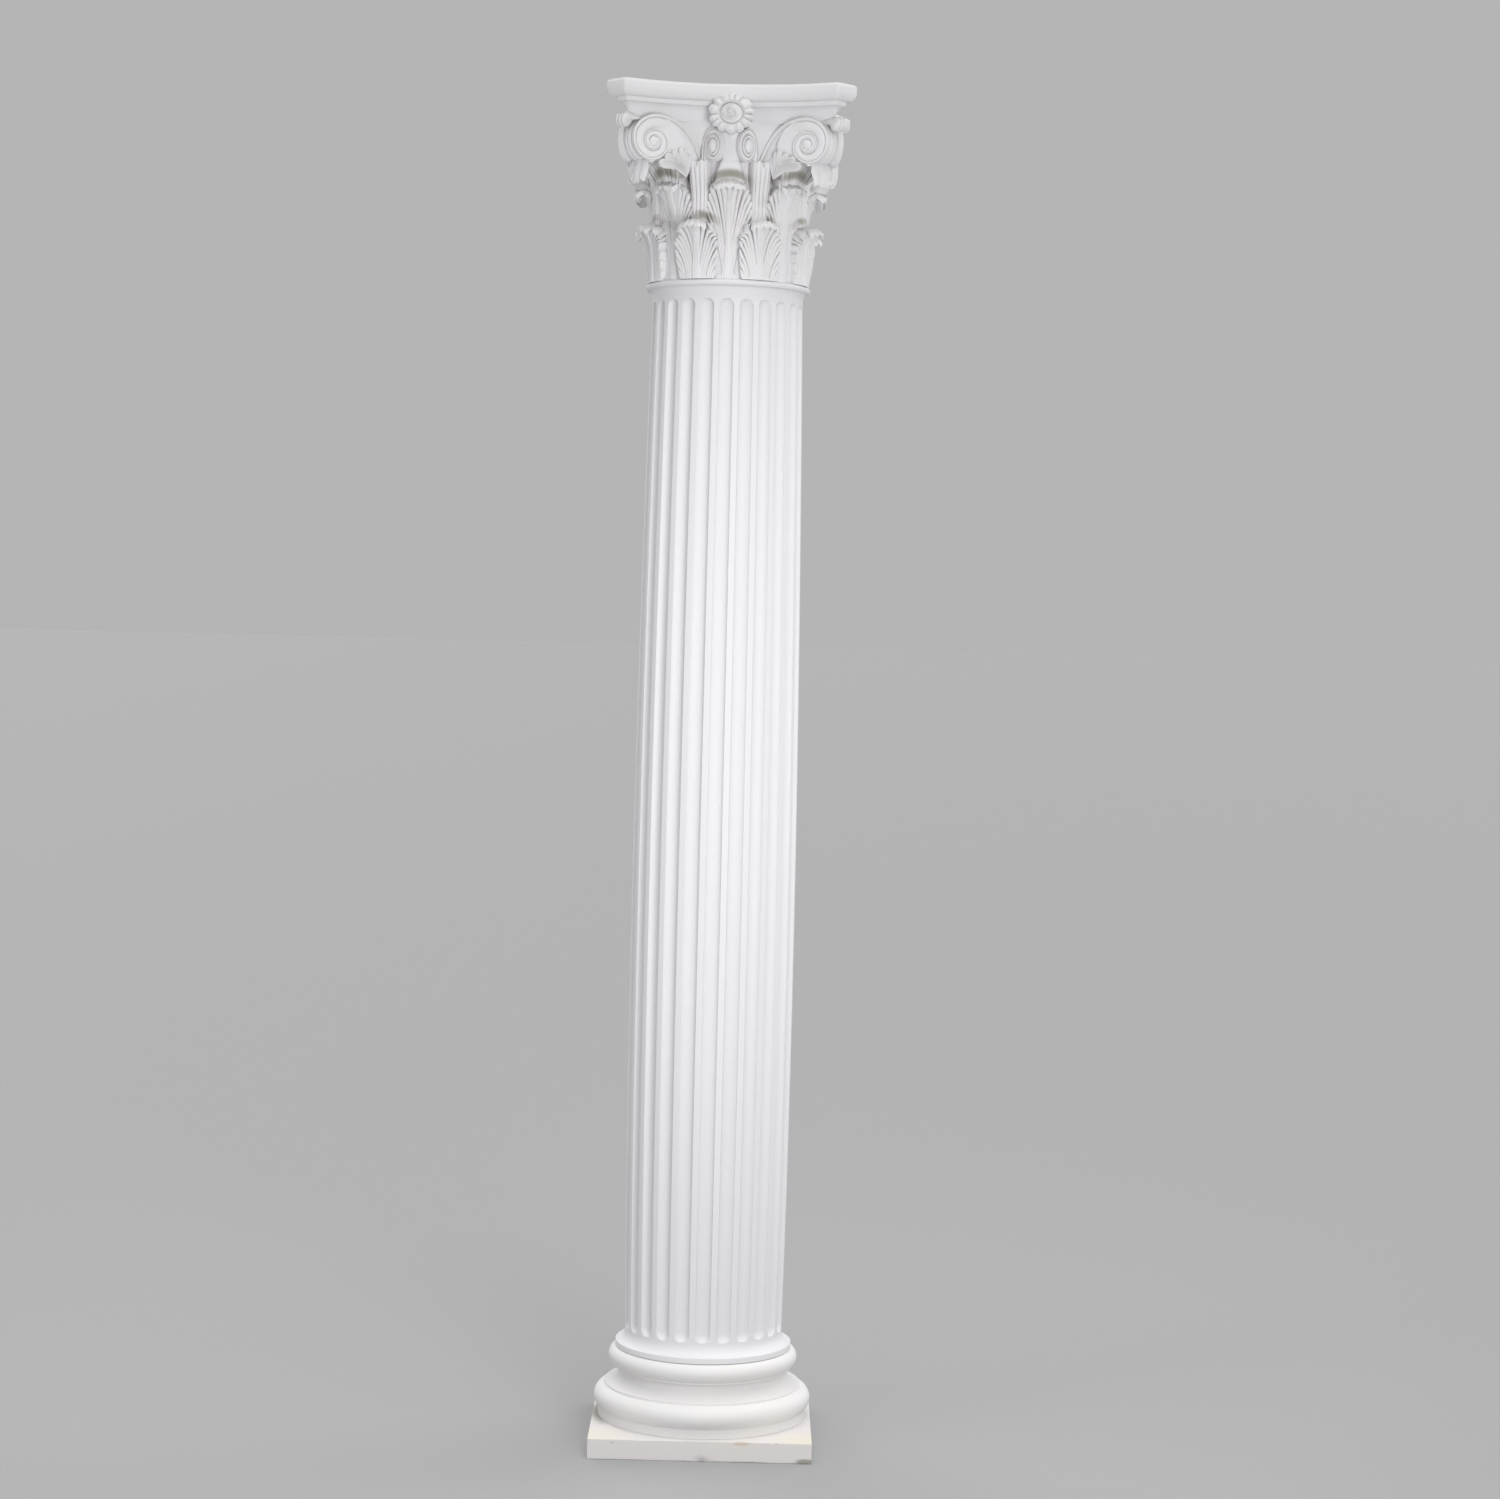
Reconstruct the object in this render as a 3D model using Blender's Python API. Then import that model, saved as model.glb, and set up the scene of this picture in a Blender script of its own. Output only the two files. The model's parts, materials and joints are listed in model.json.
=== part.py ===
"""A white plaster Corinthian column in four castings that stand on one another.

The plinth carries a turned base, the base carries a fluted shaft with a slight swelling,
and the shaft carries a leaf capital. Metres, +Z up, origin under the middle of the plinth.
The front of the column looks along -Y.
"""

import math

import bmesh
import bpy
from mathutils import Matrix, Vector

# Clearance between two castings that rest on each other
SEAT_GAP = 0.0003

# Plinth
PLINTH_SIDE = 0.400
PLINTH_HEIGHT = 0.037
PLINTH_EDGE_ROUND = 0.0015

# Turned base, from the plinth up
BASE_RING_DIAMETER = 0.380
BASE_RING_HEIGHT = 0.012
LOWER_TORUS_DIAMETER = 0.397
LOWER_TORUS_HEIGHT = 0.045
LOWER_TORUS_STEPS = 5
LOWER_FILLET_DIAMETER = 0.359
LOWER_FILLET_HEIGHT = 0.0045
SCOTIA_LEDGE = 0.003
SCOTIA_NECK_DIAMETER = 0.308
SCOTIA_HEIGHT = 0.029
SCOTIA_NECK_SHARE = 0.62
UPPER_FILLET_DIAMETER = 0.326
UPPER_FILLET_HEIGHT = 0.0015
UPPER_TORUS_DIAMETER = 0.3455
UPPER_TORUS_HEIGHT = 0.037
UPPER_TORUS_STEPS = 4
BASE_SEGMENTS = 32

# Shaft, levels measured from its own foot
SHAFT_HEIGHT = 1.935
FOOT_DIAMETER = 0.322
FOOT_FILLET_HEIGHT = 0.010
FOOT_SWEEP_HEIGHT = 0.020
FOOT_SWEEP_ANGLES = (40, 90)
SHAFT_LOWER_DIAMETER = 0.288
SHAFT_WIDEST_DIAMETER = 0.299
SHAFT_WIDEST_LEVEL = 0.775
SHAFT_NECK_DIAMETER = 0.2725
# Places of the sections that give the swelling, and the powers of its two curves
SHAFT_SECTIONS = (0.18, 0.46, 0.76)
LOWER_SWELL = 2.6
UPPER_SWELL = 1.7
# Flutes: share of each pitch that is hollow, and the places of the points across a hollow
FLUTES = 24
FLUTE_SHARE = 0.72
FLUTE_PLACES = (-1.0, -0.55, 0.55, 1.0)
FLUTE_DEPTH = 0.0095
FLUTE_END_LENGTH = 0.014
FLUTE_ROUNDING = 0.8
FLUTE_FOOT_LEVEL = 0.0335
FLUTE_TOP_BELOW_NECK = 0.0065
NECK_COVE_HEIGHT = 0.0155
NECK_COVE_REACH = 0.0072
NECK_COVE_ANGLES = (50, 90)
ASTRAGAL_DIAMETER = 0.299
ASTRAGAL_HEIGHT = 0.011
ASTRAGAL_ANGLES = (-60, 0, 60)

# Capital, levels measured from its own foot
CAPITAL_HEIGHT = 0.338
BELL_FOOT_DIAMETER = 0.268
BELL_WAIST_DIAMETER = 0.258
BELL_LIP_DIAMETER = 0.300
BELL_SEGMENTS = 16

LEAVES_IN_A_ROW = 8
LEAF_TIP_THICKNESS = 0.0045
LEAF_ROOTING = 0.004
LEAF_EDGE_SETBACK = 0.0045
LEAF_RIB_SHARE = 0.35
LEAF_BACK_SHARE = 0.9
# Places along a leaf at which its back leaves the bell and at which the leaf is thin
LEAF_LEAVES_BELL = 0.40
LEAF_STANDS_FREE = 0.65
# Lean of a leaf at places along it: upright at the foot, rolled over and down at the tip
LEAF_SLOPES = (
    (0.0, math.radians(1)),
    (0.60, math.radians(7)),
    (0.87, math.radians(72)),
    (1.0, math.radians(185)),
)
# Rows of a leaf from foot to curled tip: place along it, width share, edge set-back share
LEAF_ROWS = (
    (0.0, 0.62, 0.2),
    (0.32, 0.94, 0.9),
    (0.42, 0.74, 0.7),
    (0.64, 1.0, 1.0),
    (0.73, 0.82, 0.8),
    (0.88, 0.86, 1.0),
    (1.0, 0.50, 0.9),
)
SPINE_STEPS = 100
LOWER_LEAF_TOP = 0.103
LOWER_LEAF_FOOT_RADIUS = 0.1485
LOWER_LEAF_REACH = 0.182
LOWER_LEAF_WIDTH = 0.084
UPPER_LEAF_FOOT = 0.0
UPPER_LEAF_TOP = 0.175
UPPER_LEAF_FOOT_RADIUS = 0.1385
UPPER_LEAF_REACH = 0.178
UPPER_LEAF_WIDTH = 0.080
CORNER_LEAF_FOOT = 0.105
CORNER_LEAF_TOP = 0.214
CORNER_LEAF_FOOT_RADIUS = 0.140
CORNER_LEAF_REACH = 0.247
CORNER_LEAF_WIDTH = 0.052

STALK_FOOT = 0.085
STALK_TOP = 0.208
STALK_WIDTH = 0.034
STALK_TOP_WIDTH = 0.047
STALK_REACH = 0.147
STALK_TOP_REACH = 0.153
STALK_SHOULDER = 0.62
# Height share and widening share of each section of a stalk
STALK_SECTIONS = ((0.0, 0.0), (0.55, 0.15), (0.88, 0.8), (1.0, 1.0))

VOLUTE_RADIUS = 0.0425
VOLUTE_LEVEL = 0.2385
VOLUTE_OUT = 0.135
VOLUTE_DEPTH = 0.1794
VOLUTE_FACE_TURN = math.radians(23)
VOLUTE_TURNS = 1.45
VOLUTE_PITCH = 0.0165
VOLUTE_BAND = 0.011
VOLUTE_BAND_RISE = 0.0045
VOLUTE_BAND_CROWN = 0.8
VOLUTE_BAND_TAPER = 0.25
VOLUTE_BAND_INSET = 0.002
VOLUTE_STEPS_A_TURN = 7
# The arm that brings the band up from the stalk to the top of the scroll, in volute radii
ARM_LINE = ((-1.90, -0.75), (-1.72, -0.08), (-1.16, 0.62), (-0.52, 0.92))
ARM_UNDERSIDE = ((-1.15, -0.45), (-1.62, -0.95))
# The round part of the scroll's edge runs from its top to the underside of the arm
SCROLL_ROUND_START = math.radians(90)
SCROLL_ROUND_END = math.radians(-170)
SCROLL_ROUND_STEPS = 7
CORNER_CURL_RADIUS = 0.0105
CORNER_CURL_WIDTH = 0.026
CORNER_CURL_LEVEL = 0.272
CORNER_CURL_OUT = 0.2650
CORNER_CURL_SIDES = 8

HELIX_RADIUS = 0.0200
HELIX_NARROWING = 0.66
HELIX_LEVEL = 0.231
HELIX_OUT = 0.030
HELIX_DEPTH = 0.153
HELIX_FACE_TURN = math.radians(-32)
HELIX_ROOT = 0.030
# Stem of the small scroll, in its own radii, and the angles of its round part
HELIX_STEM = ((0.35, -1.5), (1.1, -1.5), (0.95, 0.1))
HELIX_ROUND = (50, 98, 146, 194, 242, 290)
CUP_FOOT = 0.170
CUP_TOP = 0.214
CUP_WIDTH = 0.040
CUP_REACH = 0.150
CUP_FOOT_SHARE = 0.55
CUP_FRONT_SHARE = 0.6

ABACUS_FOOT = 0.2735
ABACUS_FILLET_FOOT = 0.301
ABACUS_BAND_FOOT = 0.3085
ABACUS_BAND_SHOULDER = 0.325
ABACUS_HORN_REACH = 0.2205
ABACUS_HORN_WIDTH = 0.0488
ABACUS_SIDE_MIDDLE = 0.173
ABACUS_BAND_INSET = 0.011
ABACUS_FILLET_INSET = 0.015
ABACUS_FOOT_INSET = 0.032
ABACUS_SIDE_PLACES = (-1, -0.5, 0, 0.5, 1)
QUARTER_ROUND = (0, 45, 90)
# Outline of the bell behind the leaves: height and radius
BELL_LINE = (
    (0.0, BELL_FOOT_DIAMETER / 2),
    (0.70 * ABACUS_FOOT, BELL_WAIST_DIAMETER / 2),
    (0.95 * ABACUS_FOOT, BELL_LIP_DIAMETER / 2),
    (1.02 * ABACUS_FOOT, BELL_LIP_DIAMETER / 2),
)
ROSETTE_WIDTH = 0.081
ROSETTE_HEIGHT = 0.072
ROSETTE_LEVEL = 0.287
ROSETTE_REACH = 0.182
ROSETTE_PETALS = 8
ROSETTE_ROOT = 0.045
ROSETTE_DISH = 0.008
ROSETTE_SCALLOP = 0.16
ROSETTE_BUTTON_SHARE = 0.3

PLASTER_COLOUR = (0.86, 0.85, 0.86, 1.0)
PLASTER_ROUGHNESS = 0.62
SHARP_ANGLE = math.radians(40)

# Levels at which one casting hands over to the next
BASE_LEVEL = PLINTH_HEIGHT + SEAT_GAP


def clear_scene():
    for obj in list(bpy.data.objects):
        bpy.data.objects.remove(obj, do_unlink=True)


def plaster(name):
    material = bpy.data.materials.new(name)
    material.use_nodes = True
    shader = material.node_tree.nodes["Principled BSDF"]
    shader.inputs["Base Color"].default_value = PLASTER_COLOUR
    shader.inputs["Roughness"].default_value = PLASTER_ROUGHNESS
    shader.inputs["Metallic"].default_value = 0.0
    return material


def object_from_bmesh(name, shape, material=None, smooth=False):
    bmesh.ops.recalc_face_normals(shape, faces=shape.faces)
    mesh = bpy.data.meshes.new(name)
    shape.to_mesh(mesh)
    shape.free()
    if smooth:
        mesh.shade_smooth()
        mesh.set_sharp_from_angle(angle=SHARP_ANGLE)
    if material:
        mesh.materials.append(material)
    obj = bpy.data.objects.new(name, mesh)
    bpy.context.scene.collection.objects.link(obj)
    return obj


def between(start, end, share):
    return start + (end - start) * share


def along(points, place):
    """Value at place on a line of straight runs through (place, value) points."""
    for (start, low), (end, high) in zip(points, points[1:]):
        if place <= end:
            return between(low, high, (place - start) / (end - start))
    return points[-1][1]


def stacked_rings(shape, rings):
    """Skin through rings of the same number of points; gives back its first and last ring."""
    loops = [[shape.verts.new(point) for point in ring] for ring in rings]
    for low, high in zip(loops, loops[1:]):
        for here in range(len(low)):
            after = (here + 1) % len(low)
            shape.faces.new((low[here], low[after], high[after], high[here]))
    return loops[0], loops[-1]


def rings_to_bmesh(rings):
    """Closed body through rings of the same number of points, with flat ends."""
    shape = bmesh.new()
    for end in stacked_rings(shape, rings):
        shape.faces.new(end)
    return shape


def turned(name, profile, segments, material):
    """Body turned about Z from an outer profile of (radius, level) points, bottom to top."""
    shape = bmesh.new()
    outline = [(0.0, profile[0][1])] + profile + [(0.0, profile[-1][1])]
    line = [shape.verts.new((radius, 0.0, level)) for radius, level in outline]
    edges = [shape.edges.new(pair) for pair in zip(line, line[1:])]
    bmesh.ops.spin(
        shape,
        geom=line + edges,
        cent=(0, 0, 0),
        axis=(0, 0, 1),
        angle=2 * math.pi,
        steps=segments,
        use_merge=True,
    )
    bmesh.ops.remove_doubles(shape, verts=shape.verts, dist=1e-6)
    return object_from_bmesh(name, shape, material, smooth=True)


def torus_arc(diameter, height, foot, seat_below, seat_above, steps):
    """Half-round moulding, cut where the mouldings below and above it meet it."""
    round_radius = height / 2
    centre_radius = diameter / 2 - round_radius

    def cut_angle(seat_diameter):
        share = (seat_diameter / 2 - centre_radius) / round_radius
        return math.acos(min(max(share, 0.0), 1.0))

    start, end = -cut_angle(seat_below), cut_angle(seat_above)
    angles = [between(start, end, step / steps) for step in range(steps + 1)]
    return [
        (
            centre_radius + round_radius * math.cos(angle),
            foot + round_radius + round_radius * math.sin(angle),
        )
        for angle in angles
    ]


def scotia_arc(foot_radius, neck_radius, top_radius, foot, top):
    """Hollow moulding: a wide quarter up to the neck and a tighter one above it."""
    neck = between(foot, top, SCOTIA_NECK_SHARE)
    quarter = [math.radians(angle) for angle in QUARTER_ROUND]
    lower = [
        (
            foot_radius - (foot_radius - neck_radius) * math.sin(angle),
            neck - (neck - foot) * math.cos(angle),
        )
        for angle in quarter
    ]
    upper = [
        (
            neck_radius + (top_radius - neck_radius) * (1 - math.cos(angle)),
            neck + (top - neck) * math.sin(angle),
        )
        for angle in quarter[1:]
    ]
    return lower + upper


def base_profile():
    ring_radius = BASE_RING_DIAMETER / 2
    lower_fillet = LOWER_FILLET_DIAMETER / 2
    upper_fillet = UPPER_FILLET_DIAMETER / 2
    torus_foot = BASE_LEVEL + BASE_RING_HEIGHT
    fillet_foot = torus_foot + LOWER_TORUS_HEIGHT
    scotia_foot = fillet_foot + LOWER_FILLET_HEIGHT
    scotia_top = scotia_foot + SCOTIA_HEIGHT
    upper_torus_foot = scotia_top + UPPER_FILLET_HEIGHT
    lower_torus = torus_arc(
        LOWER_TORUS_DIAMETER,
        LOWER_TORUS_HEIGHT,
        torus_foot,
        BASE_RING_DIAMETER,
        LOWER_FILLET_DIAMETER,
        LOWER_TORUS_STEPS,
    )
    upper_torus = torus_arc(
        UPPER_TORUS_DIAMETER,
        UPPER_TORUS_HEIGHT,
        upper_torus_foot,
        UPPER_FILLET_DIAMETER,
        FOOT_DIAMETER,
        UPPER_TORUS_STEPS,
    )
    hollow = scotia_arc(
        lower_fillet - SCOTIA_LEDGE,
        SCOTIA_NECK_DIAMETER / 2,
        upper_fillet - SCOTIA_LEDGE,
        scotia_foot,
        scotia_top,
    )
    profile = [(ring_radius, BASE_LEVEL)]
    profile += lower_torus
    profile += [(lower_fillet, scotia_foot)]
    profile += hollow
    profile += [(upper_fillet, scotia_top)]
    profile += upper_torus
    return profile


SHAFT_LEVEL = base_profile()[-1][1] + SEAT_GAP
SHAFT_TOP = SHAFT_LEVEL + SHAFT_HEIGHT
CAPITAL_LEVEL = SHAFT_TOP + SEAT_GAP
CAPITAL_TOP = CAPITAL_LEVEL + CAPITAL_HEIGHT
NECK_LEVEL = SHAFT_TOP - ASTRAGAL_HEIGHT - NECK_COVE_HEIGHT
APOPHYGE_TOP = SHAFT_LEVEL + FOOT_FILLET_HEIGHT + FOOT_SWEEP_HEIGHT


def shaft_radius(level):
    """Plain shaft under the flutes: it swells from the foot to the widest level, then tapers."""
    widest = SHAFT_LEVEL + SHAFT_WIDEST_LEVEL
    if level < widest:
        share = (widest - level) / (widest - APOPHYGE_TOP)
        narrowing = SHAFT_WIDEST_DIAMETER - SHAFT_LOWER_DIAMETER
        return (SHAFT_WIDEST_DIAMETER - narrowing * share**LOWER_SWELL) / 2
    share = (level - widest) / (NECK_LEVEL - widest)
    narrowing = SHAFT_WIDEST_DIAMETER - SHAFT_NECK_DIAMETER
    return (SHAFT_WIDEST_DIAMETER - narrowing * share**UPPER_SWELL) / 2


def shaft_ring(level, places, reach_at):
    """Ring with a point at each place across each flute, from -1 at one edge to 1 at the other."""
    half = math.pi / FLUTES * FLUTE_SHARE
    ring = []
    for flute in range(FLUTES):
        middle = 2 * math.pi * flute / FLUTES - math.pi / 2
        for place in places:
            turn = middle + half * place
            reach = reach_at(place)
            ring.append((reach * math.cos(turn), reach * math.sin(turn), level))
    return ring


def fluted_ring(level, end_share):
    """Ring of the shaft at a level; end_share runs from 0 in the full flute to 1 at its end."""
    radius = shaft_radius(level)

    def reach_at(place):
        room = max(1 - place**2 - end_share**2, 0.0)
        return radius - FLUTE_DEPTH * math.sqrt(room)

    return shaft_ring(level, FLUTE_PLACES, reach_at)


def plain_ring(radius, level):
    """Ring with one point at each edge of each flute."""
    return shaft_ring(level, (-1, 1), lambda place: radius)


def join_plain_to_fluted(shape, plain, fluted):
    """Closes the band between a ring of flute edges and a ring of whole flutes."""
    points = len(fluted) // FLUTES
    for flute in range(FLUTES):
        left, right = plain[2 * flute], plain[2 * flute + 1]
        following = plain[(2 * flute + 2) % len(plain)]
        hollow = fluted[points * flute : points * (flute + 1)]
        edge = fluted[(points * (flute + 1)) % len(fluted)]
        shape.faces.new([left, right] + hollow[::-1])
        shape.faces.new([right, following, edge, hollow[-1]])


def build_shaft(material):
    foot_radius = FOOT_DIAMETER / 2
    fillet_top = SHAFT_LEVEL + FOOT_FILLET_HEIGHT
    flute_foot = SHAFT_LEVEL + FLUTE_FOOT_LEVEL
    flute_top = NECK_LEVEL - FLUTE_TOP_BELOW_NECK
    lower_radius = SHAFT_LOWER_DIAMETER / 2
    neck_radius = SHAFT_NECK_DIAMETER / 2
    astragal_round = ASTRAGAL_HEIGHT / 2
    cove_top = NECK_LEVEL + NECK_COVE_HEIGHT

    foot = [
        plain_ring(foot_radius, SHAFT_LEVEL),
        plain_ring(foot_radius, fillet_top),
    ]
    for angle in FOOT_SWEEP_ANGLES:
        turn = math.radians(angle)
        radius = foot_radius - (foot_radius - lower_radius) * math.sin(turn)
        level = fillet_top + FOOT_SWEEP_HEIGHT * (1 - math.cos(turn))
        foot.append(plain_ring(radius, level))
    foot.append(plain_ring(shaft_radius(flute_foot), flute_foot))

    fluted = []
    for end_share in (FLUTE_ROUNDING, 0.0):
        level = flute_foot + FLUTE_END_LENGTH * (1 - end_share)
        fluted.append(fluted_ring(level, end_share))
    body_foot = flute_foot + FLUTE_END_LENGTH
    body_top = flute_top - FLUTE_END_LENGTH
    for share in SHAFT_SECTIONS:
        fluted.append(fluted_ring(between(body_foot, body_top, share), 0.0))
    for end_share in (0.0, FLUTE_ROUNDING):
        level = flute_top - FLUTE_END_LENGTH * (1 - end_share)
        fluted.append(fluted_ring(level, end_share))

    head = [
        plain_ring(shaft_radius(flute_top), flute_top),
        plain_ring(neck_radius, NECK_LEVEL),
    ]
    for angle in NECK_COVE_ANGLES:
        turn = math.radians(angle)
        radius = neck_radius + NECK_COVE_REACH * (1 - math.cos(turn))
        head.append(plain_ring(radius, NECK_LEVEL + NECK_COVE_HEIGHT * math.sin(turn)))
    for angle in ASTRAGAL_ANGLES:
        turn = math.radians(angle)
        radius = ASTRAGAL_DIAMETER / 2 - astragal_round * (1 - math.cos(turn))
        level = cove_top + astragal_round * (1 + math.sin(turn))
        head.append(plain_ring(radius, level))
    head.append(plain_ring(ASTRAGAL_DIAMETER / 2 - astragal_round, SHAFT_TOP))

    shape = bmesh.new()
    foot_start, foot_end = stacked_rings(shape, foot)
    flute_start, flute_end = stacked_rings(shape, fluted)
    head_start, head_end = stacked_rings(shape, head)
    join_plain_to_fluted(shape, foot_end, flute_start)
    join_plain_to_fluted(shape, head_start, flute_end)
    shape.faces.new(foot_start)
    shape.faces.new(head_end)
    return object_from_bmesh("shaft", shape, material, smooth=True)


def build_plinth(material):
    shape = bmesh.new()
    bmesh.ops.create_cube(shape, size=1.0)
    bmesh.ops.scale(shape, vec=(PLINTH_SIDE, PLINTH_SIDE, PLINTH_HEIGHT), verts=shape.verts)
    bmesh.ops.translate(shape, vec=(0, 0, PLINTH_HEIGHT / 2), verts=shape.verts)
    bmesh.ops.bevel(
        shape,
        geom=shape.edges[:],
        offset=PLINTH_EDGE_ROUND,
        segments=1,
        affect="EDGES",
    )
    return object_from_bmesh("plinth", shape, material)


def bell_radius(height):
    return along(BELL_LINE, height)


def around(radius, angle, height):
    """Point at a radius and an angle about the column, at a height in the capital."""
    return Vector((radius * math.cos(angle), radius * math.sin(angle), CAPITAL_LEVEL + height))


def leaf_spine(foot, top, foot_radius, reach):
    """Front line of a leaf as (radius, height) points, scaled to its top and its reach."""
    radius, height = 0.0, 0.0
    walked = [(radius, height)]
    for step in range(SPINE_STEPS):
        slope = along(LEAF_SLOPES, (step + 0.5) / SPINE_STEPS)
        radius += math.sin(slope)
        height += math.cos(slope)
        walked.append((radius, height))
    outward = (reach - foot_radius) / max(radius for radius, height in walked)
    upward = (top - foot - LEAF_TIP_THICKNESS) / max(height for radius, height in walked)
    return [(foot_radius + radius * outward, foot + height * upward) for radius, height in walked]


def leaf_rings(middle, foot, top, foot_radius, reach, width):
    """Sections of one leaf, each with four points in front and two behind."""
    spine = leaf_spine(foot, top, foot_radius, reach)
    rings = []
    for place, width_share, setback_share in LEAF_ROWS:
        here = round(place * SPINE_STEPS)
        radius, height = spine[here]
        low = spine[max(here - 2, 0)]
        high = spine[min(here + 2, SPINE_STEPS)]
        run = math.hypot(high[0] - low[0], high[1] - low[1])
        back = Vector((-(high[1] - low[1]) / run, (high[0] - low[0]) / run))
        rooted = radius - bell_radius(height) + LEAF_ROOTING
        free = (place - LEAF_LEAVES_BELL) / (LEAF_STANDS_FREE - LEAF_LEAVES_BELL)
        free = min(max(free, 0.0), 1.0)
        thickness = between(max(rooted, LEAF_TIP_THICKNESS), LEAF_TIP_THICKNESS, free)
        half = width * width_share / 2 / radius
        setback = LEAF_EDGE_SETBACK * setback_share

        def point(side, depth):
            place_in = Vector((radius, height)) + back * depth
            return around(place_in.x, middle + side * half, place_in.y)

        front = [
            point(-1, setback),
            point(-LEAF_RIB_SHARE, 0),
            point(LEAF_RIB_SHARE, 0),
            point(1, setback),
        ]
        behind = [
            point(LEAF_BACK_SHARE, setback + thickness),
            point(-LEAF_BACK_SHARE, setback + thickness),
        ]
        rings.append(front + behind)
    return rings


def stalk_rings(middle):
    """Ribbed stalk between two upper leaves, widening to the rim that the scrolls leave."""
    rings = []
    for share, widening in STALK_SECTIONS:
        height = between(STALK_FOOT, STALK_TOP, share)
        reach = between(STALK_REACH, STALK_TOP_REACH, widening)
        half = between(STALK_WIDTH, STALK_TOP_WIDTH, widening) / 2 / reach
        rooted = bell_radius(height) - LEAF_ROOTING
        shoulder = between(rooted, reach, STALK_SHOULDER)
        ring = [
            around(rooted, middle - half, height),
            around(shoulder, middle - half, height),
            around(reach, middle - half / 2, height),
            around(reach, middle + half / 2, height),
            around(shoulder, middle + half, height),
            around(rooted, middle + half, height),
        ]
        rings.append(ring)
    return rings


def cup_rings(middle):
    """Small cup behind the tip of an upper leaf, under the rosette."""
    rings = []
    for height, width_share in ((CUP_FOOT, CUP_FOOT_SHARE), (CUP_TOP, 1.0)):
        rooted = bell_radius(height) - LEAF_ROOTING
        half = CUP_WIDTH * width_share / 2 / CUP_REACH
        rings.append(
            [
                around(rooted, middle - half, height),
                around(CUP_REACH, middle - half * CUP_FRONT_SHARE, height),
                around(CUP_REACH, middle + half * CUP_FRONT_SHARE, height),
                around(rooted, middle + half, height),
            ]
        )
    return rings


class ScrollFace:
    """Upright plane that carries a scroll, on the right half of the front side."""

    def __init__(self, out, depth, level, turn):
        self.centre = Vector((out, -depth, CAPITAL_LEVEL + level))
        self.run = Vector((math.cos(turn), -math.sin(turn), 0))
        self.front = Vector((-math.sin(turn), -math.cos(turn), 0))

    def point(self, along_face, up, rise=0.0):
        return self.centre + self.run * along_face + Vector((0, 0, up)) + self.front * rise


VOLUTE_FACE = ScrollFace(VOLUTE_OUT, VOLUTE_DEPTH, VOLUTE_LEVEL, VOLUTE_FACE_TURN)
HELIX_FACE = ScrollFace(HELIX_OUT, HELIX_DEPTH, HELIX_LEVEL, HELIX_FACE_TURN)


def scroll_outline():
    """Edge of the corner scroll in its own plane: the round part, then the arm to the stalk."""
    steps = SCROLL_ROUND_STEPS
    shares = [step / steps for step in range(steps + 1)]
    turns = [between(SCROLL_ROUND_START, SCROLL_ROUND_END, share) for share in shares]
    round_part = [(math.cos(turn), math.sin(turn)) for turn in turns]
    outline = (*round_part, *ARM_UNDERSIDE, *ARM_LINE)
    return [(across * VOLUTE_RADIUS, up * VOLUTE_RADIUS) for across, up in outline]


def swap_sides(point):
    """Mirror about the diagonal of the front right corner."""
    return Vector((-point.y, -point.x, point.z))


def scroll_block_rings():
    """Corner scroll block: its front face and the mirrored face on the next side."""
    front = [VOLUTE_FACE.point(across, up) for across, up in scroll_outline()]
    return [front, [swap_sides(point) for point in front]]


def spiral_line():
    """Middle line of the raised band with its width: up the arm, then round and inward."""
    line = []
    for across, up in ARM_LINE:
        inward = VOLUTE_BAND_INSET
        line.append((across * VOLUTE_RADIUS + inward, up * VOLUTE_RADIUS - inward, VOLUTE_BAND))
    steps = round(VOLUTE_TURNS * VOLUTE_STEPS_A_TURN)
    for step in range(steps + 1):
        turns = VOLUTE_TURNS * step / steps
        turn = math.pi / 2 - 2 * math.pi * turns
        radius = VOLUTE_RADIUS - VOLUTE_BAND / 2 - VOLUTE_PITCH * turns
        width = VOLUTE_BAND * (1 - VOLUTE_BAND_TAPER * turns)
        line.append((radius * math.cos(turn), radius * math.sin(turn), width))
    return line


def band_rings():
    """Sections of the raised band on the front face of the right corner scroll."""
    line = spiral_line()
    rings = []
    for here, (across, up, width) in enumerate(line):
        before, after = line[max(here - 1, 0)], line[min(here + 1, len(line) - 1)]
        run = Vector((after[0] - before[0], after[1] - before[1])).normalized()
        side = Vector((-run.y, run.x)) * width / 2
        middle = Vector((across, up))
        rings.append(
            [
                VOLUTE_FACE.point(*(middle + side), rise=-VOLUTE_BAND_RISE),
                VOLUTE_FACE.point(*(middle + side * VOLUTE_BAND_CROWN), rise=VOLUTE_BAND_RISE),
                VOLUTE_FACE.point(*(middle - side * VOLUTE_BAND_CROWN), rise=VOLUTE_BAND_RISE),
                VOLUTE_FACE.point(*(middle - side), rise=-VOLUTE_BAND_RISE),
            ]
        )
    return rings


def curl_rings():
    """Rolled leaf tip on the corner, between the scroll and the horn of the abacus."""
    middle = Vector((CORNER_CURL_OUT, 0, CAPITAL_LEVEL + CORNER_CURL_LEVEL))
    rings = []
    for end in (-1, 1):
        ring = []
        for step in range(CORNER_CURL_SIDES):
            turn = 2 * math.pi * step / CORNER_CURL_SIDES
            roll = Vector((math.cos(turn), 0, math.sin(turn))) * CORNER_CURL_RADIUS
            ring.append(middle + roll + Vector((0, end * CORNER_CURL_WIDTH / 2, 0)))
        rings.append([Matrix.Rotation(-math.pi / 4, 3, "Z") @ point for point in ring])
    return rings


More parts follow.
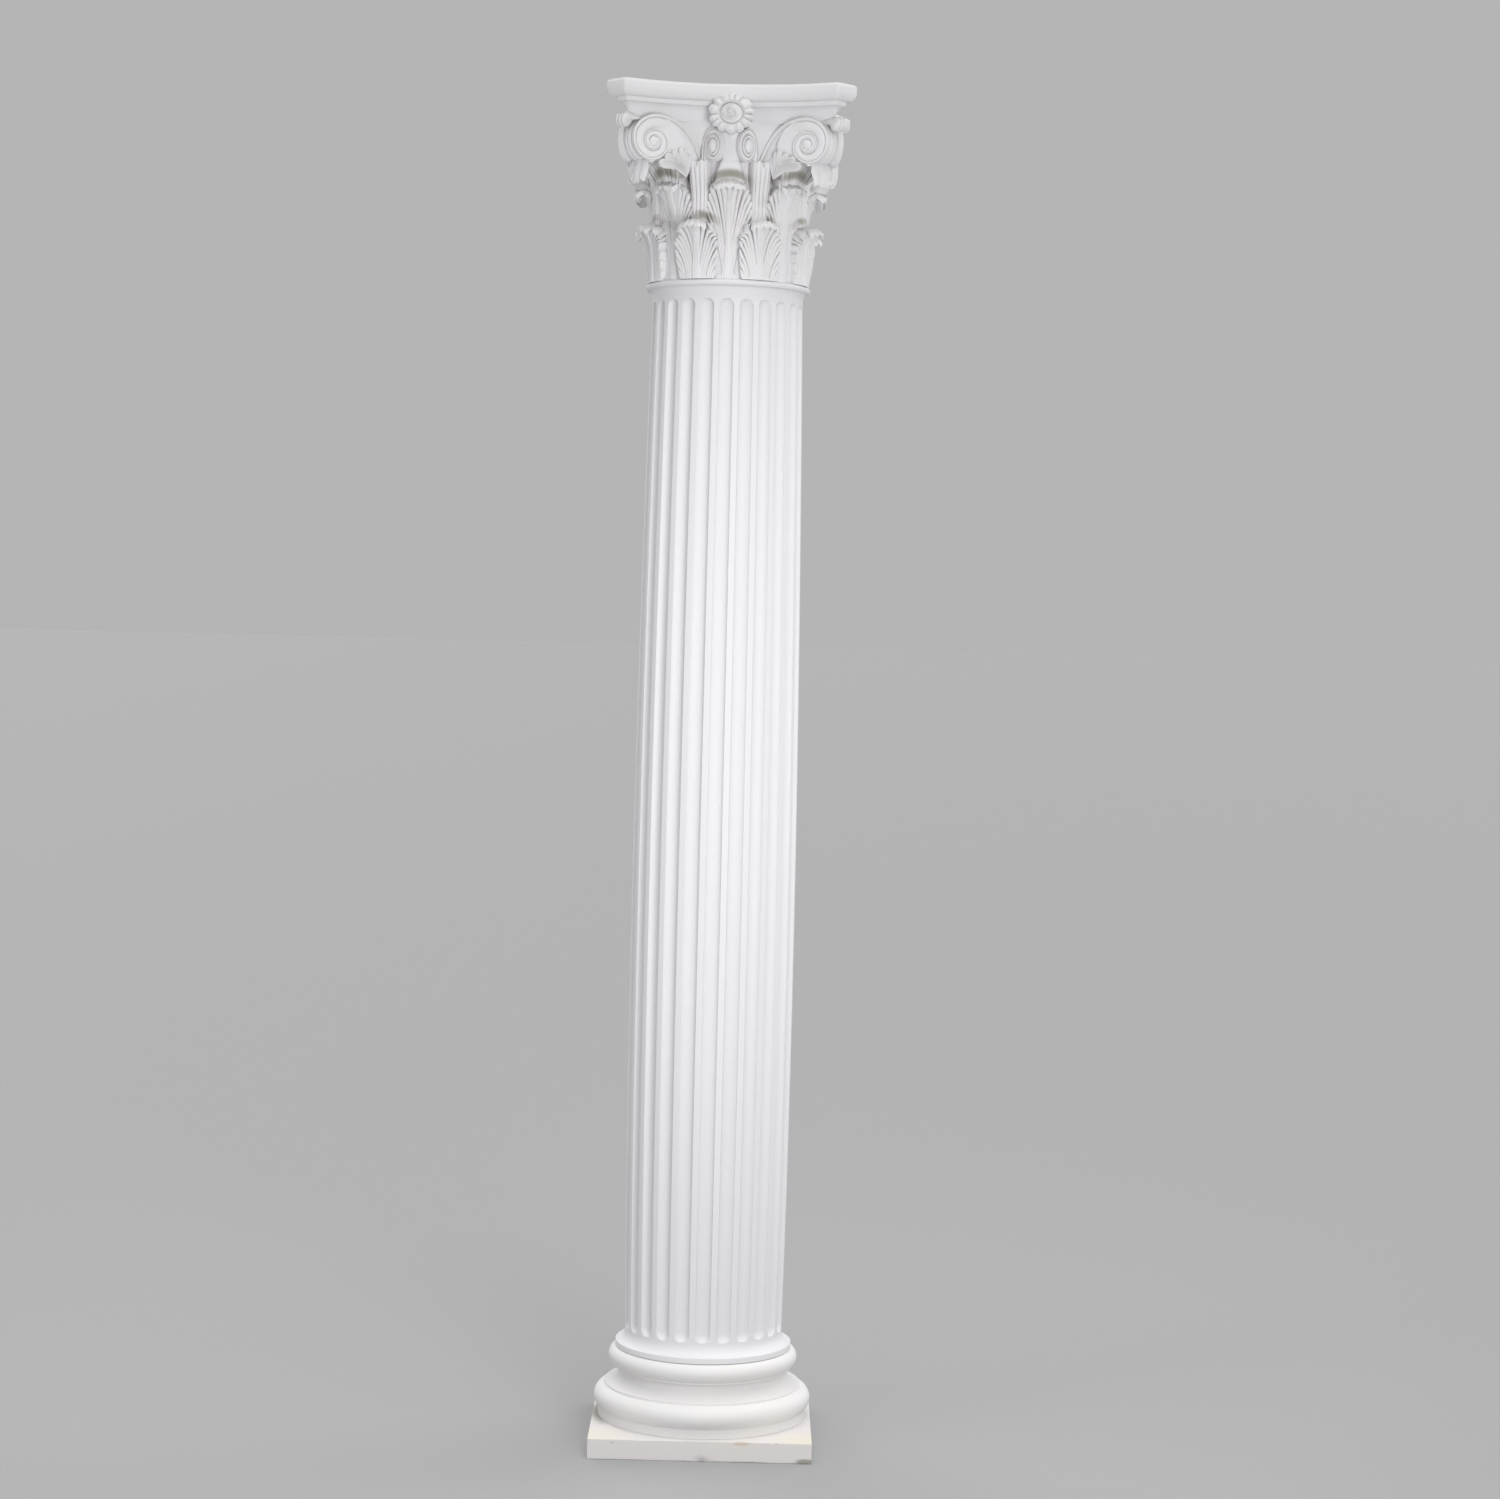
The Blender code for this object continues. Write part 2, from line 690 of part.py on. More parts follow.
def helix_rings():
    """Small inner scroll: a round face with its stem, run back into the bell."""
    outline = list(HELIX_STEM)
    for angle in HELIX_ROUND:
        turn = math.radians(angle)
        outline.append((math.cos(turn) * HELIX_NARROWING, math.sin(turn)))
    return [
        [HELIX_FACE.point(across * HELIX_RADIUS, up * HELIX_RADIUS, rise) for across, up in outline]
        for rise in (-HELIX_ROOT, 0.0)
    ]


def rosette_rings():
    """Flower on the middle of a side: a scalloped edge rising to a round button."""
    rings = []
    sections = (
        (1.0, ROSETTE_ROOT, 0.0),
        (1.0, ROSETTE_DISH, ROSETTE_SCALLOP),
        (ROSETTE_BUTTON_SHARE, 0.0, 0.0),
    )
    for share, depth, scallop in sections:
        ring = []
        for step in range(2 * ROSETTE_PETALS):
            turn = math.pi * step / ROSETTE_PETALS
            dip = 1 - scallop * (step % 2)
            across = ROSETTE_WIDTH / 2 * share * dip * math.cos(turn)
            up = ROSETTE_HEIGHT / 2 * share * dip * math.sin(turn)
            ring.append(Vector((across, depth - ROSETTE_REACH, CAPITAL_LEVEL + ROSETTE_LEVEL + up)))
        rings.append(ring)
    return rings


def abacus_ring(inset, height):
    """Plan of the abacus: four hollow sides and four cut horns, all set in by inset."""
    reach, middle = ABACUS_HORN_REACH, ABACUS_SIDE_MIDDLE
    corner = reach - ABACUS_HORN_WIDTH / math.sqrt(2)
    hollow = reach - middle
    curve = (corner**2 + hollow**2) / (2 * hollow)
    centre = middle + curve
    cut = reach + corner - inset * math.sqrt(2)
    bend = curve + inset
    total = cut + centre
    depth = (total - math.sqrt(total**2 - 2 * (cut**2 + centre**2 - bend**2))) / 2
    half_angle = math.asin((cut - depth) / bend)
    side = []
    for share in ABACUS_SIDE_PLACES:
        angle = half_angle * share
        side.append(Vector((bend * math.sin(angle), bend * math.cos(angle) - centre, 0)))
    ring = []
    for quarter in range(4):
        turn = Matrix.Rotation(quarter * math.pi / 2, 3, "Z")
        ring += [turn @ point + Vector((0, 0, CAPITAL_LEVEL + height)) for point in side]
    return ring


def abacus_rings():
    """Bottom to top: a hollow, a thin fillet, and the band with its rounded lower edge."""
    rings = []
    quarter = [math.radians(angle) for angle in QUARTER_ROUND]
    for turn in quarter:
        inset = between(ABACUS_FOOT_INSET, ABACUS_FILLET_INSET, 1 - math.cos(turn))
        height = between(ABACUS_FOOT, ABACUS_FILLET_FOOT, math.sin(turn))
        rings.append(abacus_ring(inset, height))
    rings.append(abacus_ring(ABACUS_FILLET_INSET, ABACUS_BAND_FOOT))
    for turn in quarter:
        inset = ABACUS_BAND_INSET * (1 - math.sin(turn))
        height = between(ABACUS_BAND_FOOT, ABACUS_BAND_SHOULDER, 1 - math.cos(turn))
        rings.append(abacus_ring(inset, height))
    rings.append(abacus_ring(0.0, CAPITAL_HEIGHT))
    return rings


def carving(name, rings, collection):
    """Hidden helper solid that the capital takes in."""
    obj = object_from_bmesh(name, rings_to_bmesh(rings))
    bpy.context.scene.collection.objects.unlink(obj)
    collection.objects.link(obj)
    obj.hide_render = True
    obj.display_type = "WIRE"
    return obj


def four_sides(name, rings, collection, mirrored=False):
    """The same carving on each of the four sides, and its mirror image where it has one."""
    hands = (1, -1) if mirrored else (1,)
    for quarter in range(4):
        turn = Matrix.Rotation(quarter * math.pi / 2, 3, "Z")
        for hand in hands:
            flip = Matrix.Diagonal((hand, 1, 1))
            placed = [[turn @ flip @ point for point in ring] for ring in rings]
            carving(f"{name}_{quarter}_{hand}", placed, collection)


def build_capital(material):
    collection = bpy.data.collections.new("capital_carving")
    bpy.context.scene.collection.children.link(collection)

    pitch = 2 * math.pi / LEAVES_IN_A_ROW
    for leaf in range(LEAVES_IN_A_ROW):
        middle = leaf * pitch - math.pi / 2
        between_leaves = middle + pitch / 2
        lower = leaf_rings(
            between_leaves,
            0.0,
            LOWER_LEAF_TOP,
            LOWER_LEAF_FOOT_RADIUS,
            LOWER_LEAF_REACH,
            LOWER_LEAF_WIDTH,
        )
        upper = leaf_rings(
            middle,
            UPPER_LEAF_FOOT,
            UPPER_LEAF_TOP,
            UPPER_LEAF_FOOT_RADIUS,
            UPPER_LEAF_REACH,
            UPPER_LEAF_WIDTH,
        )
        carving(f"lower_leaf_{leaf}", lower, collection)
        carving(f"upper_leaf_{leaf}", upper, collection)
        carving(f"stalk_{leaf}", stalk_rings(between_leaves), collection)

    for quarter in range(4):
        side = quarter * math.pi / 2 - math.pi / 2
        corner_leaf = leaf_rings(
            side + math.pi / 4,
            CORNER_LEAF_FOOT,
            CORNER_LEAF_TOP,
            CORNER_LEAF_FOOT_RADIUS,
            CORNER_LEAF_REACH,
            CORNER_LEAF_WIDTH,
        )
        carving(f"corner_leaf_{quarter}", corner_leaf, collection)
        carving(f"cup_{quarter}", cup_rings(side), collection)

    four_sides("scroll_block", scroll_block_rings(), collection)
    four_sides("scroll_band", band_rings(), collection, mirrored=True)
    four_sides("corner_curl", curl_rings(), collection)
    four_sides("helix", helix_rings(), collection, mirrored=True)
    four_sides("rosette", rosette_rings(), collection)
    carving("abacus", abacus_rings(), collection)

    profile = [(radius, CAPITAL_LEVEL + height) for height, radius in BELL_LINE]
    capital = turned("capital", profile, BELL_SEGMENTS, material)
    union = capital.modifiers.new("carving", "BOOLEAN")
    union.operation = "UNION"
    union.solver = "EXACT"
    union.operand_type = "COLLECTION"
    union.collection = collection
    return capital


def build_column():
    clear_scene()
    build_plinth(plaster("plinth_plaster"))
    turned("base_moulding", base_profile(), BASE_SEGMENTS, plaster("base_plaster"))
    build_shaft(plaster("shaft_plaster"))
    build_capital(plaster("capital_plaster"))


build_column()
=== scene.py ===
"""Carved and turned surfaces, plaster finish and studio of the cast Corinthian column."""

import json
import math
from collections import namedtuple

import bpy
import numpy as np
from bpy.props import FloatProperty, FloatVectorProperty, IntProperty, PointerProperty
from bpy.types import Operator, Panel, PropertyGroup
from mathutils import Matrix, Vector, noise


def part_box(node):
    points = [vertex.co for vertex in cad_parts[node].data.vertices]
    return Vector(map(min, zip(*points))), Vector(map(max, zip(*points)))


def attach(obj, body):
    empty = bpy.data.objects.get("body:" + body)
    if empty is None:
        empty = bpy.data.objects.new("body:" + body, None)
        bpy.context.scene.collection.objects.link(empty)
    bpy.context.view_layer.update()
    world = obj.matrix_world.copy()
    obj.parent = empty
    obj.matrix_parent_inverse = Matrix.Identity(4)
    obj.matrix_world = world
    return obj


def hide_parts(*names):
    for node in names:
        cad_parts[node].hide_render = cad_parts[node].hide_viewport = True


bl_info = {
    "name": "Corinthian column",
    "version": (1, 0, 0),
    "blender": (4, 5, 0),
    "location": "View3D > Sidebar > Column",
    "description": "Models the plinth, base, fluted shaft and leaf capital of a plaster column",
    "category": "Object",
}

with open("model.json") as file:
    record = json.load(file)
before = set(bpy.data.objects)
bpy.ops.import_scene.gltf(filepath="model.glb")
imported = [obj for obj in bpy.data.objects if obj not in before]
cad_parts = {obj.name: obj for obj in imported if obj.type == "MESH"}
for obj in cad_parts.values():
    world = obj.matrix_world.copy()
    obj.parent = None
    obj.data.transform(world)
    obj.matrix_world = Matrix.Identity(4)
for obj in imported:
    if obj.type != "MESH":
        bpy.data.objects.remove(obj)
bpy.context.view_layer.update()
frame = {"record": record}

SLOT_OF_NODE = {part["node"]: part["material_slot"] for part in frame["record"]["subparts"]}
PLINTH_LOW, PLINTH_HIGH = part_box("plinth")
BASE_LOW, BASE_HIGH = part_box("base_moulding")
SHAFT_LOW, SHAFT_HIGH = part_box("shaft")
CAPITAL_LOW, CAPITAL_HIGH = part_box("capital")
CAPITAL_LEVEL = CAPITAL_LOW.z
CAPITAL_HEIGHT = CAPITAL_HIGH.z - CAPITAL_LOW.z

FRONT = -math.pi / 2
QUARTER = math.pi / 2


# Sizes and colours that a user would change


def number(name, description, default, **kind):
    return FloatProperty(name=name, description=description, default=default, **kind)


def length(name, description, default):
    return number(name, description, default, min=0.0, unit="LENGTH")


def share(name, description, default):
    return number(name, description, default, min=0.0, max=1.0, subtype="FACTOR")


def lean(name, description, degrees):
    return number(name, description, math.radians(degrees), subtype="ANGLE")


def power(name, description, default):
    return number(name, description, default, min=0.0, unit="POWER")


def colour(name, description, default):
    return FloatVectorProperty(
        name=name, description=description, default=default, size=4, min=0, max=1, subtype="COLOR"
    )


class FootSizes(PropertyGroup):
    edge_round: length("Edge round", "Least rounding of the plinth's edges", 0.0012)
    edge_wear: length("Edge wear", "Further rounding where the plinth's edges are worn", 0.0022)
    chip_width: length("Chip width", "Width of the chip in the plinth's front lower edge", 0.010)
    chip_height: length("Chip height", "Height of that chip", 0.0055)
    ring_diameter: length("Ring diameter", "Low ring under the lower torus", 0.380)
    ring_height: length("Ring height", "Height of the low ring", 0.012)
    lower_torus_diameter: length("Lower torus diameter", "Widest round moulding", 0.397)
    lower_torus_height: length("Lower torus height", "Height of the widest moulding", 0.045)
    lower_fillet_diameter: length("Lower fillet diameter", "Fillet under the scotia", 0.359)
    lower_fillet_height: length("Lower fillet height", "Height of the lower fillet", 0.0045)
    scotia_diameter: length("Scotia diameter", "Narrowest place of the hollow moulding", 0.308)
    scotia_height: length("Scotia height", "Height of the hollow moulding", 0.029)
    upper_fillet_diameter: length("Upper fillet diameter", "Fillet over the scotia", 0.326)
    upper_fillet_height: length("Upper fillet height", "Height of the upper fillet", 0.0015)
    upper_torus_diameter: length("Upper torus diameter", "Upper round moulding", 0.3455)


class ShaftSizes(PropertyGroup):
    foot_diameter: length("Foot diameter", "Fillet at the foot of the shaft", 0.322)
    foot_fillet: length("Foot fillet", "Height of the foot fillet", 0.010)
    foot_sweep: length("Foot sweep", "Height of the hollow sweep over the foot fillet", 0.020)
    lower_diameter: length("Lower diameter", "Shaft just above its foot", 0.288)
    widest_diameter: length("Widest diameter", "Shaft at the widest of its swelling", 0.299)
    widest_level: length("Widest level", "Height of the widest place over the foot", 0.775)
    neck_diameter: length("Neck diameter", "Shaft under its neck cove", 0.2725)
    flutes: IntProperty(name="Flutes", description="Flutes round the shaft", default=24, min=8)
    flute_share: share("Flute share", "Share of each pitch that is hollow", 0.72)
    flute_depth: length("Flute depth", "Depth of a flute in its middle", 0.0095)
    flute_foot: length("Flute foot", "Level of the flutes' feet over the shaft's foot", 0.0335)
    flute_top: length("Flute top", "Plain strip between the flutes and the neck cove", 0.0065)
    cove_height: length("Cove height", "Height of the cove under the astragal", 0.0155)
    cove_reach: length("Cove reach", "How far the cove flares", 0.0072)
    astragal_diameter: length("Astragal diameter", "Round ring under the capital", 0.299)
    astragal_height: length("Astragal height", "Height of that ring", 0.011)


class CapitalSizes(PropertyGroup):
    lower_leaf_top: length("Lower leaf top", "Crest of the lower leaves over the foot", 0.103)
    lower_leaf_reach: length("Lower leaf reach", "Tip of a lower leaf from the axis", 0.176)
    lower_leaf_width: length("Lower leaf width", "Width of a lower leaf", 0.084)
    upper_leaf_top: length("Upper leaf top", "Crest of the upper leaves over the foot", 0.175)
    upper_leaf_reach: length("Upper leaf reach", "Tip of an upper leaf from the axis", 0.172)
    upper_leaf_width: length("Upper leaf width", "Width of an upper leaf", 0.087)
    corner_leaf_top: length("Corner leaf top", "Crest of the leaves under the corners", 0.217)
    corner_leaf_reach: length("Corner leaf reach", "Tip of a corner leaf from the axis", 0.231)
    corner_leaf_width: length("Corner leaf width", "Width of a corner leaf", 0.085)
    scroll_radius: length("Scroll radius", "Corner scroll from its eye to its top", 0.048)
    helix_radius: length("Helix radius", "Small inner scroll from its eye to its top", 0.033)
    rosette_width: length("Rosette width", "Width of the flower on each side", 0.081)
    rosette_height: length("Rosette height", "Height of that flower", 0.072)
    horn_reach: length("Horn reach", "Abacus horn from the axis, square to a side", 0.2205)
    horn_width: length("Horn width", "Cut face of an abacus horn", 0.0488)
    side_middle: length("Side middle", "Hollow side of the abacus from the axis", 0.173)


class FinishColours(PropertyGroup):
    plinth: colour("Plinth", "Yellowed plaster of the plinth", (0.715, 0.69, 0.685, 1))
    base: colour("Base", "Plaster of the turned base", (0.755, 0.745, 0.74, 1))
    shaft: colour("Shaft", "Plaster of the shaft", (0.735, 0.735, 0.75, 1))
    capital: colour("Capital", "Plaster of the capital", (0.765, 0.755, 0.765, 1))
    # Grey dirt and painted shade that darken the hollows
    dirt_and_shade: colour("Dirt", "Grey dirt in the hollows", (0.21, 0.20, 0.17, 1))
    # Olive dirt and painted shadow behind the leaf tips, and dust and painted shade on the capital's
    # tops
    olive_dirt_and_shade: colour("Olive dirt", "Olive dust behind the leaf tips", (0.225, 0.215, 0.165, 1))
    cream: colour("Cream", "Yellowed patches of old plaster", (0.75, 0.705, 0.605, 1))
    stain: colour("Stain", "Orange brown stain on the plinth's front edge", (0.50, 0.27, 0.10, 1))
    floor: colour("Floor", "Plain pale floor", (0.348, 0.348, 0.352, 1))
    surround: colour("Surround", "Plain pale light all round", (0.46, 0.46, 0.465, 1))


class StageSizes(PropertyGroup):
    camera_side: number("Camera side", "Camera to the right", 0.0545, unit="LENGTH")
    camera_distance: length("Camera distance", "Camera from the column's axis", 5.725)
    camera_height: length("Camera height", "Camera over the floor", 1.492)
    camera_roll: lean("Camera roll", "Lean of the picture", -1.394)
    camera_tilt: lean("Camera tilt", "Aim of the camera over the level", -2.301)
    lens: number("Lens", "Focal length", 75.27, subtype="DISTANCE_CAMERA")
    floor_size: length("Floor size", "Side of the floor", 400.0)
    key_power: power("Key power", "Front light", 13.4)
    fill_power: power("Fill power", "Left light", 4.0)
    rear_strength: share("Rear strength", "Each of the two lights behind the column", 0.8)
    top_strength: share("Top strength", "Share of the overhead light's full strength of 2", 0.78)


class ColumnSettings(PropertyGroup):
    foot: PointerProperty(type=FootSizes)
    shaft: PointerProperty(type=ShaftSizes)
    capital: PointerProperty(type=CapitalSizes)
    finish: PointerProperty(type=FinishColours)
    stage: PointerProperty(type=StageSizes)


# Modelling helpers


def deselect_all():
    if bpy.context.object and bpy.context.object.mode != "OBJECT":
        bpy.ops.object.mode_set(mode="OBJECT")
    bpy.ops.object.select_all(action="DESELECT")


def select_only(*chosen):
    deselect_all()
    for obj in chosen:
        obj.select_set(True)
    bpy.context.view_layer.objects.active = chosen[0]


def edit_all(mode=(True, False, False)):
    bpy.ops.object.mode_set(mode="EDIT")
    bpy.context.tool_settings.mesh_select_mode = mode
    bpy.ops.mesh.select_all(action="SELECT")


def points_of(mesh):
    found = np.zeros(len(mesh.vertices) * 3)
    mesh.vertices.foreach_get("co", found)
    return found.reshape(-1, 3)


def ends_of_edges(mesh):
    found = np.zeros(len(mesh.edges) * 2, dtype=np.int32)
    mesh.edges.foreach_get("vertices", found)
    return found.reshape(-1, 2)


def move_points(mesh, points):
    mesh.vertices.foreach_set("co", np.asarray(points, dtype=np.float32).ravel())
    mesh.update()


def ease(low, high, value):
    """0 below low, 1 above high and a smooth step between them."""
    part = np.clip((value - low) / (high - low), 0.0, 1.0)
    return part * part * (3 - 2 * part)


def eased(value, places, values):
    """Value at a place, with a smooth step between each two given places."""
    index = np.clip(np.searchsorted(places, value, side="right") - 1, 0, len(places) - 2)
    part = ease(np.take(places, index), np.take(places, index + 1), value)
    return mixed(np.take(values, index), np.take(values, index + 1), part)


def mixed(first, second, amount):
    """The first value, the second one, or what lies between them."""
    return first + (second - first) * amount


def between(rise, fall, value):
    """Smooth step up over the range of the rise, and down again over that of the fall."""
    return ease(*rise, value) * (1 - ease(*fall, value))


def bump(value, middle, width):
    """Soft swelling of height 1 about a middle."""
    return np.exp(-(((value - middle) / width) ** 2))


def lobes(phase, roundness=0.55):
    """Rounded swellings of height 1 that meet in sharp valleys at whole numbers."""
    return np.abs(np.sin(math.pi * phase)) ** roundness


def full_turn(count):
    """Angles of a number of points evenly round a ring."""
    return np.linspace(0, 2 * math.pi, count, endpoint=False)


def grid(x, y, z):
    """Rows of points from coordinates that spread to the same rows and columns."""
    return np.stack(np.broadcast_arrays(x, y, z), axis=-1)


def around(radius, angle, height):
    """Rows of points by distance from the axis, angle and height over the capital's foot."""
    return grid(radius * np.cos(angle), radius * np.sin(angle), CAPITAL_LEVEL + height)


def face_outwards(obj):
    """Turns a closed piece's faces outwards where its volume comes out negative."""
    mesh = obj.data
    mesh.calc_loop_triangles()
    corners = np.zeros(len(mesh.loop_triangles) * 3, dtype=np.int32)
    mesh.loop_triangles.foreach_get("vertices", corners)
    a, b, c = points_of(mesh)[corners.reshape(-1, 3)].transpose(1, 0, 2)
    if np.einsum("ij,ij->i", a, np.cross(b, c)).sum() < 0:
        select_only(obj)
        edit_all()
        bpy.ops.mesh.flip_normals()
        bpy.ops.object.mode_set(mode="OBJECT")


def cut_into_rows(obj, cuts):
    """Cuts every upright edge of a cylinder primitive the same number of times."""
    mesh = obj.data
    rise = np.abs(np.diff(points_of(mesh)[:, 2][ends_of_edges(mesh)], axis=1)).ravel()
    select_only(obj)
    edit_all((False, True, False))
    bpy.ops.mesh.select_all(action="DESELECT")
    bpy.ops.object.mode_set(mode="OBJECT")
    mesh.edges.foreach_set("select", rise > 1e-6)
    bpy.ops.object.mode_set(mode="EDIT")
    bpy.ops.mesh.subdivide(number_cuts=cuts)
    bpy.ops.object.mode_set(mode="OBJECT")


def skin(rings, foot=None, head=None):
    """Closed piece through rings of points: a cylinder cut into rows and then pulled to shape."""
    rings = np.asarray(rings)
    rows, sides = rings.shape[0] - 1, rings.shape[1]
    deselect_all()
    bpy.ops.mesh.primitive_cylinder_add(
        vertices=sides, radius=1.0, depth=2.0, end_fill_type="TRIFAN", location=(0, 0, 0)
    )
    obj = bpy.context.object
    halves = 2 if rows > 100 else 1
    if rows % halves:
        raise ValueError("a piece with over 100 rows needs an even number of them")
    if halves == 2:
        cut_into_rows(obj, 1)
    cut_into_rows(obj, rows // halves - 1)
    old = points_of(obj.data)
    row = np.rint((old[:, 2] + 1) / 2 * rows).astype(int)
    side = np.rint(np.arctan2(old[:, 0], old[:, 1]) / (2 * math.pi) * sides).astype(int) % sides
    new = rings[row, side]
    centre = np.hypot(old[:, 0], old[:, 1]) < 0.5
    ends = [rings[0].mean(axis=0) if foot is None else foot]
    ends.append(rings[-1].mean(axis=0) if head is None else head)
    for index in np.flatnonzero(centre):
        new[index] = ends[int(old[index, 2] > 0)]
    move_points(obj.data, new)
    face_outwards(obj)
    return obj


SHARP_CORNER = math.radians(20)
MOST_OF_A_SIDE = 0.4


def softened(outline, radius, closed=False, steps=3):
    """The outline with its sharp corners rounded a little, as on a casting."""
    corners = [Vector(point) for point in outline]
    count = len(corners)
    result = []
    for here, corner in enumerate(corners):
        before = corners[here - 1] - corner
        after = corners[(here + 1) % count] - corner
        at_end = not closed and here in (0, count - 1)
        if at_end or (-before).angle(after) < SHARP_CORNER:
            result.append(corner)
            continue
        start = corner + before.normalized() * min(radius, before.length * MOST_OF_A_SIDE)
        end = corner + after.normalized() * min(radius, after.length * MOST_OF_A_SIDE)
        for step in range(steps + 1):
            part = step / steps
            result.append(start.lerp(corner, part).lerp(corner.lerp(end, part), part))
    return result


def turned(profile, segments):
    """Piece spun about the column's axis from an outer profile of (radius, level) points."""
    outline = [(0.0, profile[0][1]), *profile, (0.0, profile[-1][1])]
    deselect_all()
    bpy.ops.mesh.primitive_plane_add(size=0.01, location=(0, 0, outline[0][1]))
    edit_all()
    bpy.ops.mesh.merge(type="CENTER")
    for (radius, level), (next_radius, next_level) in zip(outline, outline[1:]):
        step = (next_radius - radius, 0, next_level - level)
        bpy.ops.mesh.extrude_region_move(TRANSFORM_OT_translate={"value": step})
    bpy.ops.mesh.select_all(action="SELECT")
    bpy.ops.mesh.spin(steps=segments, angle=2 * math.pi, center=(0, 0, 0), axis=(0, 0, 1))
    bpy.ops.mesh.select_all(action="SELECT")
    bpy.ops.mesh.remove_doubles(threshold=1e-6)
    bpy.ops.mesh.normals_make_consistent(inside=False)
    bpy.ops.object.mode_set(mode="OBJECT")
    return bpy.context.object


def apply_place(obj):
    select_only(obj)
    bpy.ops.object.transform_apply(location=True, rotation=True, scale=True)


def joined(pieces):
    select_only(*pieces)
    bpy.ops.object.join()
    return bpy.context.object


def copy_of(obj):
    select_only(obj)
    bpy.ops.object.duplicate(linked=False)
    return bpy.context.object


def mirrored(obj):
    """Copy of a piece made of closed parts, on the other side of the YZ plane."""
    copy = copy_of(obj)
    bpy.ops.transform.resize(value=(-1, 1, 1), center_override=(0, 0, 0))
    apply_place(copy)
    edit_all()
    bpy.ops.mesh.normals_make_consistent(inside=False)
    bpy.ops.object.mode_set(mode="OBJECT")
    return copy


def rotated(obj, angle):
    select_only(obj)
    bpy.ops.transform.rotate(value=angle, orient_axis="Z", center_override=(0, 0, 0))
    apply_place(obj)
    return obj


def round_the_column(obj, count):
    """The piece and its copies, evenly round the axis, as one object."""
    copies = [rotated(copy_of(obj), 2 * math.pi * step / count) for step in range(1, count)]
    return joined([obj, *copies])


# Level of each row of leaf tips over the capital's foot, its leaves, first angle and reach
TIP_ROWS = ((0.113, 8, math.pi / 8, 0.160), (0.185, 8, 0.0, 0.158), (0.188, 4, math.pi / 4, 0.202))
# Painted shadow and olive dirt behind each leaf tip: half width, rise over the tip, curve to the
# sides and fading past the tip's reach
TIP_SHADE_AND_DIRT_HALF_WIDTH = 0.034
TIP_SHADE_AND_DIRT_RISE = 0.0078
TIP_SHADE_AND_DIRT_FALL = 0.010
TIP_SHADE_AND_DIRT_FADING = 0.006
# Single places darkened with painted shade and dirt: middle, width and strength
SHADED_AND_DIRTY_PLACES = (
    ((-0.108, -0.105, 2.204), 0.019, 0.70),
    ((-0.095, -0.160, 2.300), 0.018, 0.30),
    ((0.112, -0.160, 2.300), 0.018, 0.18),
    ((-0.049, -0.155, 2.342), 0.016, 0.60),
    ((-0.052, -0.155, 2.322), 0.012, 0.35),
    ((-0.038, -0.185, 2.405), 0.010, 0.80),
    ((-0.012, -0.186, 2.420), 0.009, 0.70),
    ((0.181, -0.181, 2.366), 0.012, 0.60),
    ((-0.181, -0.181, 2.366), 0.012, 0.45),
    ((0.068, -0.140, 2.235), 0.014, 0.45),
    ((-0.145, -0.120, 2.273), 0.020, 1.0),
    ((0.145, -0.120, 2.271), 0.020, 1.0),
)


def painted_shade_and_dirt(points):
    """How much painted shadow and olive dirt darken each point: behind the rows of leaf tips and at
    single places.
    """
    angle = np.arctan2(points[:, 1], points[:, 0]) - FRONT
    radius = np.hypot(points[:, 0], points[:, 1])
    found = np.zeros(len(points))
    for level, count, turn, reach in TIP_ROWS:
        step = 2 * math.pi / count
        nearest = np.mod(angle - turn + step / 2, step) - step / 2
        across = nearest * radius / TIP_SHADE_AND_DIRT_HALF_WIDTH
        above = (points[:, 2] - CAPITAL_LEVEL - level + TIP_SHADE_AND_DIRT_FALL * across**2) / TIP_SHADE_AND_DIRT_RISE
        there = np.exp(-(across**4) - above**4)
        outside = ease(reach - TIP_SHADE_AND_DIRT_FADING, reach + TIP_SHADE_AND_DIRT_FADING, radius)
        found = np.maximum(found, there * (1 - outside))
    for middle, width, strength in SHADED_AND_DIRTY_PLACES:
        away = np.linalg.norm(points - middle, axis=1)
        found = np.maximum(found, strength * bump(away, 0, width))
    return found


def mark_hollows(obj, rounds=3):
    """Writes how hollow the surface is at each point, for the dirt and painted shade that darken it
    there, and how much painted shadow and olive dirt lie behind the leaf tips.
    """
    mesh = obj.data
    points = points_of(mesh)
    normals = np.zeros(len(points) * 3)
    mesh.vertex_normals.foreach_get("vector", normals)
    normals = normals.reshape(-1, 3)
    ends = ends_of_edges(mesh)
    first, second = ends.T
    run = points[second] - points[first]
    run /= np.maximum(np.linalg.norm(run, axis=1, keepdims=True), 1e-9)
    count = np.maximum(np.bincount(ends.ravel(), minlength=len(points)), 1)
    at_first = np.einsum("ij,ij->i", normals[first], run)
    at_second = -np.einsum("ij,ij->i", normals[second], run)
    hollow = np.bincount(first, at_first, len(points)) + np.bincount(second, at_second, len(points))
    hollow = np.clip(hollow / count, 0, 1)
    for _ in range(rounds):
        spread = np.bincount(first, hollow[second], len(points))
        spread += np.bincount(second, hollow[first], len(points))
        hollow = (hollow + spread / count) / 2
    for name, values in (("hollow", hollow), ("settled", painted_shade_and_dirt(points))):
        layer = mesh.attributes.new(name, "FLOAT", "POINT")
        layer.data.foreach_set("value", values.astype(np.float32))


